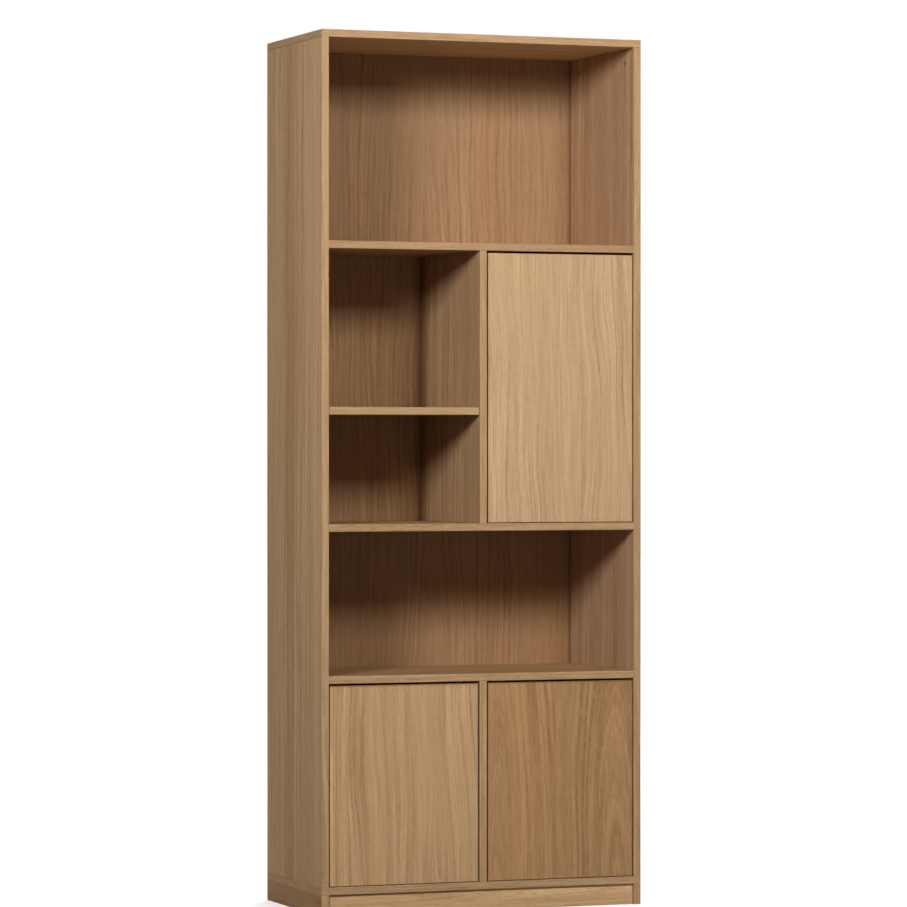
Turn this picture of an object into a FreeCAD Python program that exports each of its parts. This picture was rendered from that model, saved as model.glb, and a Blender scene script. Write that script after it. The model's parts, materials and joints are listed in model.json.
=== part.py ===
import FreeCAD, Part
import os
import re

# A tall shelving unit: boards joined by cam fittings and dowels, a screwed back, three inset doors
# on concealed hinges with push latches, and two wall brackets. Millimetres, +Z up, the front faces
# -Y, and the origin is on the floor under the middle of the unit.

Vector = FreeCAD.Vector
Rotation = FreeCAD.Rotation

RIGHT = Vector(1, 0, 0)
LEFT = Vector(-1, 0, 0)
REAR = Vector(0, 1, 0)
FRONT = Vector(0, -1, 0)
UP = Vector(0, 0, 1)
DOWN = Vector(0, 0, -1)
HALF_TURN = 180
BOX_EDGES = 12

# Driving dimensions, in millimetres and degrees.
SIZES = (
    ("unit_width", 820),
    ("unit_depth", 410),
    ("board", 18),
    ("edge_break", 0.9),
    ("plinth_height", 50),
    ("plinth_setback", 8),
    ("cupboard_bay", 482),
    ("open_bay", 342),
    ("middle_bay", 654),
    ("top_bay", 482),
    ("nook_height", 260),
    ("loose_play", 1.5),
    ("loose_setback", 1),
    ("loose_rear_gap", 4),
    ("back_thickness", 4),
    ("back_seat", 7),
    ("back_lap", 10),
    ("back_play", 0.4),
    ("back_screw_inset", 60),
    ("door_thickness", 18),
    ("door_setback", 5),
    ("door_top_gap", 5),
    ("door_bottom_gap", 1.5),
    ("door_hinge_gap", 2),
    ("door_free_gap", 3),
    ("door_left_play", 1.3),
    ("fitting_setback", 56),
    ("dowel_setback", 98),
    ("cam_distance", 34),
    ("cam_radius", 7.4),
    ("cam_floor", 0.4),
    ("cam_sink", 0.2),
    ("cam_slot_length", 8),
    ("cam_slot_width", 2),
    ("cam_slot_depth", 3),
    ("bolt_radius", 2.5),
    ("bolt_head_radius", 3.5),
    ("bolt_play", 0.3),
    ("bolt_head_length", 5),
    ("bolt_collar_length", 4),
    ("bolt_thread_length", 11),
    ("dowel_radius", 4),
    ("dowel_short_end", 11),
    ("dowel_long_end", 19),
    ("dowel_break", 0.8),
    ("fit_play", 0.1),
    ("plinth_dowel_inset", 150),
    ("pin_setback", 65),
    ("pin_rear_setback", 37),
    ("pin_rod_radius", 2.5),
    ("pin_depth", 9),
    ("pin_reach", 9),
    ("pin_collar_radius", 3.5),
    ("pin_collar_length", 1),
    ("screw_radius", 1.6),
    ("screw_length", 13),
    ("screw_head_radius", 3.1),
    ("screw_head_height", 1.8),
    ("screw_slot_length", 3.6),
    ("screw_slot_width", 0.8),
    ("screw_slot_depth", 0.9),
    ("hinge_inset", 90),
    ("pivot_inset", 22),
    ("pivot_depth", 8.5),
    ("pivot_radius", 1.25),
    ("pivot_play", 0.05),
    ("cup_radius", 17.4),
    ("cup_wall", 1),
    ("cup_floor", 0.6),
    ("flange_width", 20),
    ("flange_length", 62),
    ("flange_thickness", 1.2),
    ("flange_screw_pitch", 46),
    ("lug_thickness", 3),
    ("eye_radius", 2.5),
    ("eye_play", 0.4),
    ("arm_width", 10),
    ("arm_thickness", 2.4),
    ("arm_clearance", 0.7),
    ("arm_base_length", 46),
    ("arm_base_width", 16),
    ("arm_base_height", 9),
    ("plate_height", 6),
    ("plate_width", 14),
    ("plate_tail", 3),
    ("wing_thickness", 2.5),
    ("wing_width", 16),
    ("wing_offset", 16),
    ("wing_span", 46),
    ("wing_screw_pitch", 32),
    ("latch_offset", 45),
    ("latch_drop", 14),
    ("latch_gap", 0.3),
    ("latch_width", 14),
    ("latch_base_width", 38),
    ("latch_base_length", 30),
    ("latch_base_thickness", 3),
    ("latch_screw_pitch", 26),
    ("latch_end_wall", 4),
    ("plunger_radius", 3.5),
    ("plunger_length", 37),
    ("plunger_head_radius", 5),
    ("plunger_head_length", 2.6),
    ("plunger_head_gap", 0.4),
    ("spring_length", 15),
    ("spring_radius", 2.6),
    ("spring_wire_radius", 0.4),
    ("spring_turns", 6),
    ("spring_play", 0.2),
    ("strike_width", 34),
    ("strike_height", 15),
    ("strike_thickness", 1.2),
    ("strike_screw_pitch", 22),
    ("bracket_spacing", 500),
    ("bracket_width", 30),
    ("bracket_foot", 40),
    ("bracket_rise", 26),
    ("bracket_thickness", 2),
    ("bracket_hole_radius", 2.75),
    ("bracket_hole_height", 15),
    ("bracket_screw_inset", 13),
    ("bracket_screw_pitch", 15),
)

# Levels, planes and sizes that follow from the driving dimensions. A cutter starts cut_over outside
# the face that it cuts.
PLACES = (
    ("cut_over", "1"),
    ("half_board", "board / 2"),
    ("side_outer", "unit_width / 2"),
    ("side_inner", "unit_width / 2 - board"),
    ("side_middle", "unit_width / 2 - board / 2"),
    ("front", "-unit_depth / 2"),
    ("rear", "unit_depth / 2"),
    ("back_face", "unit_depth / 2 - back_seat"),
    ("bottom_top", "plinth_height + board"),
    ("lower_under", "bottom_top + cupboard_bay"),
    ("lower_top", "lower_under + board"),
    ("middle_under", "lower_top + open_bay"),
    ("middle_top", "middle_under + board"),
    ("upper_under", "middle_top + middle_bay"),
    ("upper_top", "upper_under + board"),
    ("top_under", "upper_top + top_bay"),
    ("top_face", "top_under + board"),
    ("loose_under", "middle_top + nook_height"),
    ("plinth_front_middle", "front + plinth_setback + half_board"),
    ("plinth_rear_middle", "rear - plinth_setback - half_board"),
    ("back_screw_x", "side_inner + back_lap / 2"),
    ("back_screw_seat", "back_face + back_thickness"),
    ("back_edge_x", "side_inner + back_lap - back_play"),
    ("back_top_edge", "top_under + back_lap - back_play"),
    ("back_bottom_edge", "bottom_top - back_lap + back_play"),
    ("upper_seam", "upper_under + half_board"),
    ("middle_seam", "middle_under + half_board"),
    ("seam_offset", "board / 4"),
    ("cam_height", "half_board - cam_sink + bolt_head_radius + bolt_play + cam_floor"),
    ("pivot_x", "side_inner - door_hinge_gap - pivot_inset"),
    ("pivot_y", "front + door_setback + pivot_depth"),
    ("door_back", "door_thickness - pivot_depth"),
    ("wall_distance", "pivot_inset + door_hinge_gap"),
    ("cup_bottom", "-eye_radius - eye_play - cup_floor"),
    ("cup_depth", "door_back - cup_bottom"),
    ("mouth_reach", "sqrt((cup_radius - cup_wall) ^ 2 - (arm_width / 2) ^ 2)"),
    ("mouth_radius", "sqrt(mouth_reach ^ 2 + door_back ^ 2)"),
    ("mouth_angle", "atan(door_back / mouth_reach)"),
    ("arm_angle", "mouth_angle + asin((arm_thickness / 2 + arm_clearance) / mouth_radius)"),
    ("lug_start", "arm_width / 2 + eye_play"),
    ("lug_end", "lug_start + lug_thickness"),
    ("arm_inner", "sqrt(pivot_inset ^ 2 + door_back ^ 2) + arm_clearance"),
    ("arm_outer", "arm_inner + arm_thickness"),
    ("arm_base_side", "plate_height + arm_base_height - wall_distance"),
    ("latch_x", "half_board + latch_offset"),
    ("latch_y", "front + door_setback + door_thickness + strike_thickness + latch_gap"),
    ("latch_front", "plunger_head_length + plunger_head_gap"),
    ("plunger_end", "plunger_head_length + plunger_length"),
    ("spring_start", "plunger_end + spring_play + spring_wire_radius"),
    ("latch_bore_end", "spring_start + spring_length + spring_wire_radius + spring_play"),
    ("latch_end", "latch_bore_end + latch_end_wall"),
    ("bracket_x", "bracket_spacing / 2"),
)

doc = FreeCAD.newDocument("ShelvingUnit")
SIZE_NAMES = {alias for alias, value in SIZES}
PLACE_NAMES = {alias for alias, text in PLACES}
nodes = {}
groups = {}
drills = {}


def formula(text, own_sheet=False):
    """Write the sheet's name before each alias in a formula."""
    def named(match):
        word = match.group(0)
        if word in SIZE_NAMES:
            return "Sizes." + word
        if word in PLACE_NAMES and not own_sheet:
            return "Places." + word
        return word
    return re.sub(r"[a-z_]+", named, text)


def fill_sheets():
    """Put the driving dimensions in one sheet and what follows from them in another."""
    sizes = doc.addObject("Spreadsheet::Sheet", "Sizes")
    for row, (alias, value) in enumerate(SIZES, start=1):
        sizes.set("A%d" % row, alias)
        sizes.set("B%d" % row, str(value))
        sizes.setAlias("B%d" % row, alias)
    places = doc.addObject("Spreadsheet::Sheet", "Places")
    for row, (alias, text) in enumerate(PLACES, start=1):
        places.set("A%d" % row, alias)
        places.setAlias("B%d" % row, alias)
    for row, (alias, text) in enumerate(PLACES, start=1):
        places.set("B%d" % row, "=" + formula(text, own_sheet=True))
    doc.recompute()


def bind(thing, **formulas):
    """Bind properties of an object to formulas."""
    for name, text in formulas.items():
        thing.setExpression(name, formula(text))


def place(thing, spot):
    """Bind an object's position to three formulas."""
    for axis, text in zip("xyz", spot):
        thing.setExpression("Placement.Base." + axis, formula(text))


def spans(low, high):
    """The three formulas for the lengths between two corners."""
    return ["(%s) - (%s)" % (end, start) for start, end in zip(low, high)]


def block(name, low, high):
    """A box between two corners."""
    box = doc.addObject("Part::Box", name)
    length, width, height = spans(low, high)
    bind(box, Length=length, Width=width, Height=height)
    place(box, low)
    return box


def rod(name, start, along, radius, length):
    """A cylinder from a point along a direction."""
    cylinder = doc.addObject("Part::Cylinder", name)
    cylinder.Placement = FreeCAD.Placement(Vector(), Rotation(UP, along))
    bind(cylinder, Radius=radius, Height=length)
    place(cylinder, start)
    return cylinder


def fuse(name, pieces):
    """Several overlapping solids made one."""
    joined = doc.addObject("Part::MultiFuse", name)
    joined.Shapes = pieces
    joined.Refine = True
    return joined


def collect(name, pieces):
    """Separate solids kept together in one object."""
    group = doc.addObject("Part::Compound", name)
    group.Links = pieces
    return group


def cut(name, base, tools):
    """A solid less all the tools."""
    result = doc.addObject("Part::Cut", name)
    result.Base = base
    result.Tool = tools[0] if len(tools) == 1 else collect(name + "_tools", tools)
    return result


def copy(name, master, spot, turn=Rotation()):
    """A linked copy of a master solid, turned and placed."""
    link = doc.addObject("App::Link", name)
    link.LinkedObject = master
    link.LinkTransform = True
    link.Placement = FreeCAD.Placement(Vector(), turn)
    place(link, spot)
    return link


def facing(into, side):
    """The turn that takes local +Z to one direction and local +X to another."""
    return Rotation(side, Vector(), into, "ZXY")


def pointing(into):
    """The turn that takes local +Z to a direction."""
    return Rotation(UP, into)


def drill(node, cutter):
    """Note a cutter for a node's holes."""
    drills.setdefault(node, []).append(cutter)


def add_to(node, piece):
    """Note a solid of a node that holds several alike."""
    groups.setdefault(node, []).append(piece)


def board(name, low, high):
    """A board with slightly broken edges, between two corners."""
    body = doc.addObject("PartDesign::Body", name + "_body")
    box = body.newObject("PartDesign::AdditiveBox", name + "_block")
    length, width, height = spans(low, high)
    bind(box, Length=length, Width=width, Height=height)
    edges = body.newObject("PartDesign::Chamfer", name + "_edges")
    edges.Base = (box, ["Edge%d" % number for number in range(1, BOX_EDGES + 1)])
    bind(edges, Size="edge_break")
    body.Tip = edges
    place(body, low)
    nodes[name] = body


def make_boards():
    """Carcass, plinth and loose boards."""
    board("top_panel", ("-side_outer", "front", "top_under"), ("side_outer", "rear", "top_face"))
    board("bottom_panel", ("-side_outer", "front", "plinth_height"), ("side_outer", "rear", "bottom_top"))
    board("left_side", ("-side_outer", "front", "bottom_top"), ("-side_inner", "rear", "top_under"))
    board("right_side", ("side_inner", "front", "bottom_top"), ("side_outer", "rear", "top_under"))
    for level in ("upper", "middle", "lower"):
        low = ("-side_inner", "front", level + "_under")
        board(level + "_shelf", low, ("side_inner", "back_face", level + "_top"))
    for name, floor, ceiling in (
        ("upper_divider", "middle_top", "upper_under"),
        ("lower_divider", "bottom_top", "lower_under"),
    ):
        board(name, ("-half_board", "front", floor), ("half_board", "back_face", ceiling))
    board(
        "loose_shelf",
        ("-side_inner + loose_play", "front + loose_setback", "loose_under"),
        ("-half_board - loose_play", "back_face - loose_rear_gap", "loose_under + board"),
    )
    board("plinth_left", ("-side_outer", "front", "0"), ("-side_inner", "rear", "plinth_height"))
    board("plinth_right", ("side_inner", "front", "0"), ("side_outer", "rear", "plinth_height"))
    for name, middle in (("plinth_front", "plinth_front_middle"), ("plinth_rear", "plinth_rear_middle")):
        low = ("-side_inner", middle + " - half_board", "0")
        board(name, low, ("side_inner", middle + " + half_board", "plinth_height"))


def make_back():
    """Three back panels in a rebate of the outer boards, which meet behind two shelves."""
    rebate = block(
        "back_rebate",
        ("-side_inner - back_lap", "back_face", "bottom_top - back_lap"),
        ("side_inner + back_lap", "rear + cut_over", "top_under + back_lap"),
    )
    for name in ("top_panel", "bottom_panel", "left_side", "right_side"):
        drill(name, rebate)
    for name, floor, ceiling in (
        ("back_top", "upper_seam + back_play / 2", "back_top_edge"),
        ("back_middle", "middle_seam + back_play / 2", "upper_seam - back_play / 2"),
        ("back_bottom", "back_bottom_edge", "middle_seam - back_play / 2"),
    ):
        low = ("-back_edge_x", "back_face", floor)
        panel = block(name + "_panel", low, ("back_edge_x", "back_screw_seat", ceiling))
        nodes[name] = panel


def make_cam_fitting():
    """Cam, bolt and bore of a corner fitting: local +Z runs into the butted board, +X to the cam's face."""
    face = "half_board - cam_sink"
    cam_low = "half_board - cam_sink - cam_height"
    disc = rod("cam_disc", (cam_low, "0", "cam_distance"), RIGHT, "cam_radius", "cam_height")
    pocket = rod(
        "cam_pocket",
        ("0", "0", "cam_distance - cam_radius - cut_over"),
        UP,
        "bolt_head_radius + bolt_play",
        "cam_radius + 2 * cut_over + bolt_head_length / 2",
    )
    slots = []
    for name, across, upright in (
        ("cam_slot_flat", "cam_slot_length / 2", "cam_slot_width / 2"),
        ("cam_slot_upright", "cam_slot_width / 2", "cam_slot_length / 2"),
    ):
        low = (face + " - cam_slot_depth", "-" + across, "cam_distance - " + upright)
        slots.append(block(name, low, (face + " + cut_over", across, "cam_distance + " + upright)))
    cam = cut("cam_master", disc, [pocket] + slots)
    head_start = "cam_distance - bolt_head_length / 2"
    bolt = fuse("bolt_master", [
        rod("bolt_thread", ("0", "0", "-bolt_thread_length"), UP, "bolt_radius",
            "bolt_thread_length + " + head_start),
        rod("bolt_collar", ("0", "0", "0"), UP, "bolt_head_radius", "bolt_collar_length"),
        rod("bolt_head", ("0", "0", head_start), UP, "bolt_head_radius", "bolt_head_length"),
    ])
    bore = fuse("fitting_bore_master", [
        rod("bore_pilot", ("0", "0", "-bolt_thread_length - fit_play"), UP, "bolt_radius + fit_play",
            "bolt_thread_length + cut_over"),
        rod("bore_end", ("0", "0", "0"), UP, "bolt_head_radius + fit_play", "cam_distance"),
        rod("bore_cam", (cam_low + " - fit_play", "0", "cam_distance"), RIGHT, "cam_radius + fit_play",
            "cam_height + cam_sink + fit_play + cut_over"),
    ])
    return cam, bolt, bore


def make_dowel():
    """Dowel with chamfered ends, and its bore."""
    straight = rod(
        "dowel_rod",
        ("0", "0", "-dowel_short_end + dowel_break"),
        UP,
        "dowel_radius",
        "dowel_short_end + dowel_long_end - 2 * dowel_break",
    )
    ends = []
    for name, start, turn in (
        ("dowel_long_tip", "dowel_long_end - dowel_break", UP),
        ("dowel_short_tip", "-dowel_short_end + dowel_break", DOWN),
    ):
        tip = doc.addObject("Part::Cone", name)
        tip.Placement = FreeCAD.Placement(Vector(), Rotation(UP, turn))
        bind(tip, Radius1="dowel_radius", Radius2="dowel_radius - dowel_break", Height="dowel_break")
        place(tip, ("0", "0", start))
        ends.append(tip)
    bore = rod(
        "dowel_bore_master",
        ("0", "0", "-dowel_short_end - fit_play"),
        UP,
        "dowel_radius + fit_play",
        "dowel_short_end + dowel_long_end + 2 * fit_play",
    )
    return fuse("dowel_master", [straight] + ends), bore


def make_screw():
    """Pan-head screw with a cross slot, seated at local z = 0, and its hole."""
    solid = fuse("screw_solid", [
        rod("screw_shank", ("0", "0", "0"), UP, "screw_radius", "screw_length"),
        rod("screw_head", ("0", "0", "-screw_head_height"), UP, "screw_head_radius", "screw_head_height"),
    ])
    slots = []
    for name, across, upright in (
        ("screw_slot_one", "screw_slot_length / 2", "screw_slot_width / 2"),
        ("screw_slot_two", "screw_slot_width / 2", "screw_slot_length / 2"),
    ):
        low = ("-" + across, "-" + upright, "-screw_head_height - cut_over")
        slots.append(block(name, low, (across, upright, "-screw_head_height + screw_slot_depth")))
    hole = rod("screw_hole_master", ("0", "0", "-cut_over"), UP, "screw_radius + fit_play",
               "screw_length + fit_play + cut_over")
    return cut("screw_master", solid, slots), hole


def make_shelf_pin():
    """Shelf pin with a collar, seated at local z = 0, and its hole."""
    pin = fuse("pin_master", [
        rod("pin_rod", ("0", "0", "-pin_reach"), UP, "pin_rod_radius", "pin_reach + pin_depth"),
        rod("pin_collar", ("0", "0", "-pin_collar_length"), UP, "pin_collar_radius", "pin_collar_length"),
    ])
    hole = rod("pin_hole_master", ("0", "0", "-pin_collar_length"), UP, "pin_rod_radius + fit_play",
               "pin_collar_length + pin_depth + fit_play")
    return pin, hole


def make_hinge_cup(screw_hole):
    """Cup, flange and pivot lugs of a hinge about a vertical pivot at the origin, and the cup's bore."""
    cup = rod("cup_outside", ("0", "cup_bottom", "0"), REAR, "cup_radius", "cup_depth")
    flange = block(
        "cup_flange",
        ("-flange_width / 2", "door_back", "-flange_length / 2"),
        ("flange_width / 2", "door_back + flange_thickness", "flange_length / 2"),
    )
    hollow = rod("cup_hollow", ("0", "cup_bottom + cup_floor", "0"), REAR, "cup_radius - cup_wall",
                 "cup_depth + flange_thickness + cut_over")
    shell = cut("cup_shell", fuse("cup_solid", [cup, flange]), [hollow])
    lugs = []
    for name, low, high in (("upper_lug", "lug_start", "lug_end"), ("lower_lug", "-lug_end", "-lug_start")):
        corner = ("-eye_radius", "cup_bottom + cup_floor / 2", low)
        lugs.append(block(name, corner, ("eye_radius", "eye_radius", high)))
    holes = [rod("lug_hole", ("0", "0", "-lug_end - cut_over"), UP, "pivot_radius + pivot_play",
                 "2 * lug_end + 2 * cut_over")]
    for height in ("flange_screw_pitch / 2", "-flange_screw_pitch / 2"):
        spot = ("0", "door_back + flange_thickness", height)
        holes.append(copy("flange_hole", screw_hole, spot, pointing(FRONT)))
    master = cut("cup_master", fuse("cup_with_lugs", [shell] + lugs), holes)
    bore = rod("cup_bore_master", ("0", "cup_bottom - fit_play", "0"), REAR, "cup_radius + fit_play",
               "cup_depth + fit_play + cut_over")
    return master, bore


def make_hinge_arm():
    """Arm about the pivot: out of the cup, round the door's edge and back to the plate on the side."""
    half = "arm_width / 2"
    eye = rod("arm_eye", ("0", "0", "-" + half), UP, "eye_radius", "arm_width")
    blade = doc.addObject("Part::Box", "arm_blade")
    bind(blade, Length="arm_outer", Width="arm_thickness", Height="arm_width")
    blade.Placement = FreeCAD.Placement(Vector(), Rotation(UP, 0))
    bind(blade, **{"Placement.Rotation.Angle": "arm_angle"})
    place(blade, (
        "arm_thickness / 2 * sin(arm_angle)",
        "-arm_thickness / 2 * cos(arm_angle)",
        "-" + half,
    ))
    rings = []
    for name, radius in (("arm_bend_outside", "arm_outer"), ("arm_bend_inside", "arm_inner")):
        ring = rod(name, ("0", "0", "-" + half), UP, radius, "arm_width")
        bind(ring, Angle="90 deg - arm_angle")
        bind(ring, **{"Placement.Rotation.Angle": "arm_angle"})
        rings.append(ring)
    bend = cut("arm_bend", rings[0], [rings[1]])
    run_start = ("arm_base_side - arm_thickness", "arm_inner", "-" + half)
    run = block("arm_run", run_start, ("0", "arm_outer", half))
    base = block(
        "arm_base",
        ("plate_height - wall_distance", "arm_inner", "-arm_base_width / 2"),
        ("arm_base_side", "arm_inner + arm_base_length", "arm_base_width / 2"),
    )
    hole = rod("arm_hole", ("0", "0", "-" + half + " - cut_over"), UP, "pivot_radius + pivot_play",
               "arm_width + 2 * cut_over")
    return cut("arm_master", fuse("arm_solid", [eye, blade, bend, run, base]), [hole])


def make_hinge_plate(screw_hole):
    """Mounting plate between the side board and the arm's base."""
    rail = block(
        "plate_rail",
        ("-wall_distance", "arm_inner", "-plate_width / 2"),
        ("plate_height - wall_distance", "arm_inner + arm_base_length + plate_tail", "plate_width / 2"),
    )
    wing = block(
        "plate_wing",
        ("-wall_distance", "arm_inner + wing_offset - wing_width / 2", "-wing_span / 2"),
        ("wing_thickness - wall_distance", "arm_inner + wing_offset + wing_width / 2", "wing_span / 2"),
    )
    holes = []
    for height in ("wing_screw_pitch / 2", "-wing_screw_pitch / 2"):
        spot = ("wing_thickness - wall_distance", "arm_inner + wing_offset", height)
        holes.append(copy("wing_hole", screw_hole, spot, pointing(LEFT)))
    return cut("plate_master", fuse("plate_solid", [rail, wing]), holes)


def make_latch(screw_hole):
    """Push latch about the middle of its plunger's tip: housing, plunger, spring and strike plate."""
    half = "latch_width / 2"
    case = block("latch_case", ("-" + half, "latch_front", "-" + half), (half, "latch_end", "latch_drop"))
    base = block(
        "latch_base",
        ("-latch_base_width / 2", "latch_front", "latch_drop - latch_base_thickness"),
        ("latch_base_width / 2", "latch_front + latch_base_length", "latch_drop"),
    )
    holes = [rod("latch_bore", ("0", "latch_front - cut_over", "0"), REAR, "plunger_radius + fit_play",
                 "latch_bore_end - latch_front + cut_over")]
    for across in ("latch_screw_pitch / 2", "-latch_screw_pitch / 2"):
        spot = (across, "latch_front + latch_base_length / 2", "latch_drop - latch_base_thickness")
        holes.append(copy("latch_hole", screw_hole, spot, pointing(UP)))
    housing = cut("latch_master", fuse("latch_solid", [case, base]), holes)
    plunger = fuse("plunger_master", [
        rod("plunger_head", ("0", "0", "0"), REAR, "plunger_head_radius", "plunger_head_length"),
        rod("plunger_stem", ("0", "0", "0"), REAR, "plunger_radius", "plunger_end"),
    ])
    coil = doc.addObject("Part::Helix", "spring_coil")
    bind(coil, Radius="spring_radius", Height="spring_length", Pitch="spring_length / spring_turns")
    wire = doc.addObject("Part::Circle", "spring_wire")
    wire.Placement = FreeCAD.Placement(Vector(), Rotation(UP, REAR))
    bind(wire, Radius="spring_wire_radius")
    place(wire, ("spring_radius", "0", "0"))
    spring = doc.addObject("Part::Sweep", "spring_sweep")
    spring.Sections = [wire]
    spring.Spine = coil
    spring.Solid = True
    spring.Frenet = True
    strike = block(
        "strike_plate",
        ("-strike_width / 2", "-latch_gap - strike_thickness", "-strike_height / 2"),
        ("strike_width / 2", "-latch_gap", "strike_height / 2"),
    )
    strike_holes = []
    for across in ("strike_screw_pitch / 2", "-strike_screw_pitch / 2"):
        spot = (across, "-latch_gap", "0")
        strike_holes.append(copy("strike_hole", screw_hole, spot, pointing(FRONT)))
    return housing, plunger, spring, cut("strike_master", strike, strike_holes)


def make_bracket(screw_hole):
    """Angle bracket whose outer corner is at the origin, on the top panel's rear edge."""
    half = "bracket_width / 2"
    foot = block("bracket_plate", ("-" + half, "-bracket_foot", "0"), (half, "0", "bracket_thickness"))
    upright = block("bracket_upright", ("-" + half, "-bracket_thickness", "0"), (half, "0", "bracket_rise"))
    holes = [rod("bracket_hole", ("0", "-bracket_thickness - cut_over", "bracket_hole_height"), REAR,
                 "bracket_hole_radius", "bracket_thickness + 2 * cut_over")]
    for inset in ("bracket_screw_inset", "bracket_screw_inset + bracket_screw_pitch"):
        spot = ("0", "-(%s)" % inset, "bracket_thickness")
        holes.append(copy("bracket_screw_hole", screw_hole, spot, pointing(DOWN)))
    return cut("bracket_master", fuse("bracket_solid", [foot, upright]), holes)


def add_screw(screw, spot, into, node, boards):
    """A screw in a group node, with its hole in the boards."""
    solid, hole = screw
    add_to(node, copy(node + "_one", solid, spot, pointing(into)))
    for name in boards:
        drill(name, copy(node + "_hole", hole, spot, pointing(into)))


def add_dowel(dowel, spot, into, boards):
    """A dowel, with its bore in the two boards that it joins."""
    solid, bore = dowel
    add_to("dowels", copy("dowel", solid, spot, pointing(into)))
    for name in boards:
        drill(name, copy("dowel_bore", bore, spot, pointing(into)))


def join_boards(fitting, dowel):
    """Two cam fittings and two dowels in each corner joint of the carcass."""
    cam, bolt, bore = fitting
    joints = [
        ("-side_middle", "top_under", DOWN, RIGHT, ("top_panel", "left_side")),
        ("side_middle", "top_under", DOWN, LEFT, ("top_panel", "right_side")),
        ("-side_middle", "bottom_top", UP, RIGHT, ("bottom_panel", "left_side")),
        ("side_middle", "bottom_top", UP, LEFT, ("bottom_panel", "right_side")),
        ("0", "upper_under", DOWN, RIGHT, ("upper_shelf", "upper_divider")),
        ("0", "middle_top", UP, RIGHT, ("middle_shelf", "upper_divider")),
        ("0", "lower_under", DOWN, RIGHT, ("lower_shelf", "lower_divider")),
        ("0", "bottom_top", UP, RIGHT, ("bottom_panel", "lower_divider")),
    ]
    for level in ("upper", "middle", "lower"):
        shelf = level + "_shelf"
        height = level + "_under + half_board"
        joints.append(("-side_inner", height, RIGHT, DOWN, ("left_side", shelf)))
        joints.append(("side_inner", height, LEFT, DOWN, ("right_side", shelf)))
    for across, height, into, side, boards in joints:
        for depth in ("front + fitting_setback", "back_face - fitting_setback"):
            spot = (across, depth, height)
            turn = facing(into, side)
            add_to("cam_locks", copy("cam", cam, spot, turn))
            add_to("cam_bolts", copy("bolt", bolt, spot, turn))
            for name in boards:
                drill(name, copy("fitting_bore", bore, spot, turn))
        for depth in ("front + dowel_setback", "back_face - dowel_setback"):
            add_dowel(dowel, (across, depth, height), into, boards)


def join_plinth(dowel):
    """Dowels from the plinth boards up into the bottom panel and into each other."""
    for side, across, inner, inward in (
        ("plinth_left", "-side_middle", "-side_inner", RIGHT),
        ("plinth_right", "side_middle", "side_inner", LEFT),
    ):
        for depth in ("front + plinth_dowel_inset", "rear - plinth_dowel_inset"):
            add_dowel(dowel, (across, depth, "plinth_height"), DOWN, ("bottom_panel", side))
        for rail in ("plinth_front", "plinth_rear"):
            spot = (inner, rail + "_middle", "plinth_height / 2")
            add_dowel(dowel, spot, inward, (side, rail))
    for rail in ("plinth_front", "plinth_rear"):
        for across in ("side_inner - plinth_dowel_inset", "-side_inner + plinth_dowel_inset"):
            add_dowel(dowel, (across, rail + "_middle", "plinth_height"), DOWN, ("bottom_panel", rail))


def screw_back(screw):
    """Screws through each back panel into the sides and into the boards above and below it."""
    low_row = "bottom_top - back_lap / 2"
    high_row = "top_under + back_lap / 2"
    for back, floor, ceiling, below, above in (
        ("back_top", "upper_seam + seam_offset", high_row, "upper_shelf", "top_panel"),
        (
            "back_middle", "middle_seam + seam_offset", "upper_seam - seam_offset",
            "middle_shelf", "upper_shelf",
        ),
        ("back_bottom", low_row, "middle_seam - seam_offset", "bottom_panel", "middle_shelf"),
    ):
        for sign, side in (("-", "left_side"), ("", "right_side")):
            for height in (floor + " + back_screw_inset", ceiling + " - back_screw_inset"):
                spot = (sign + "back_screw_x", "back_screw_seat", height)
                add_screw(screw, spot, FRONT, "back_screws", (back, side))
            for height, neighbour in ((floor, below), (ceiling, above)):
                spot = (sign + "(side_inner - back_screw_inset)", "back_screw_seat", height)
                add_screw(screw, spot, FRONT, "back_screws", (back, neighbour))


def seat_shelf(pin):
    """Four pins under the loose shelf."""
    solid, hole = pin
    for across, into, name in (("-side_inner", LEFT, "left_side"), ("-half_board", RIGHT, "upper_divider")):
        for depth in ("front + pin_setback", "back_face - pin_rear_setback"):
            spot = (across, depth, "loose_under - pin_rod_radius")
            add_to("shelf_pins", copy("shelf_pin", solid, spot, pointing(into)))
            drill(name, copy("shelf_pin_hole", hole, spot, pointing(into)))


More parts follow.
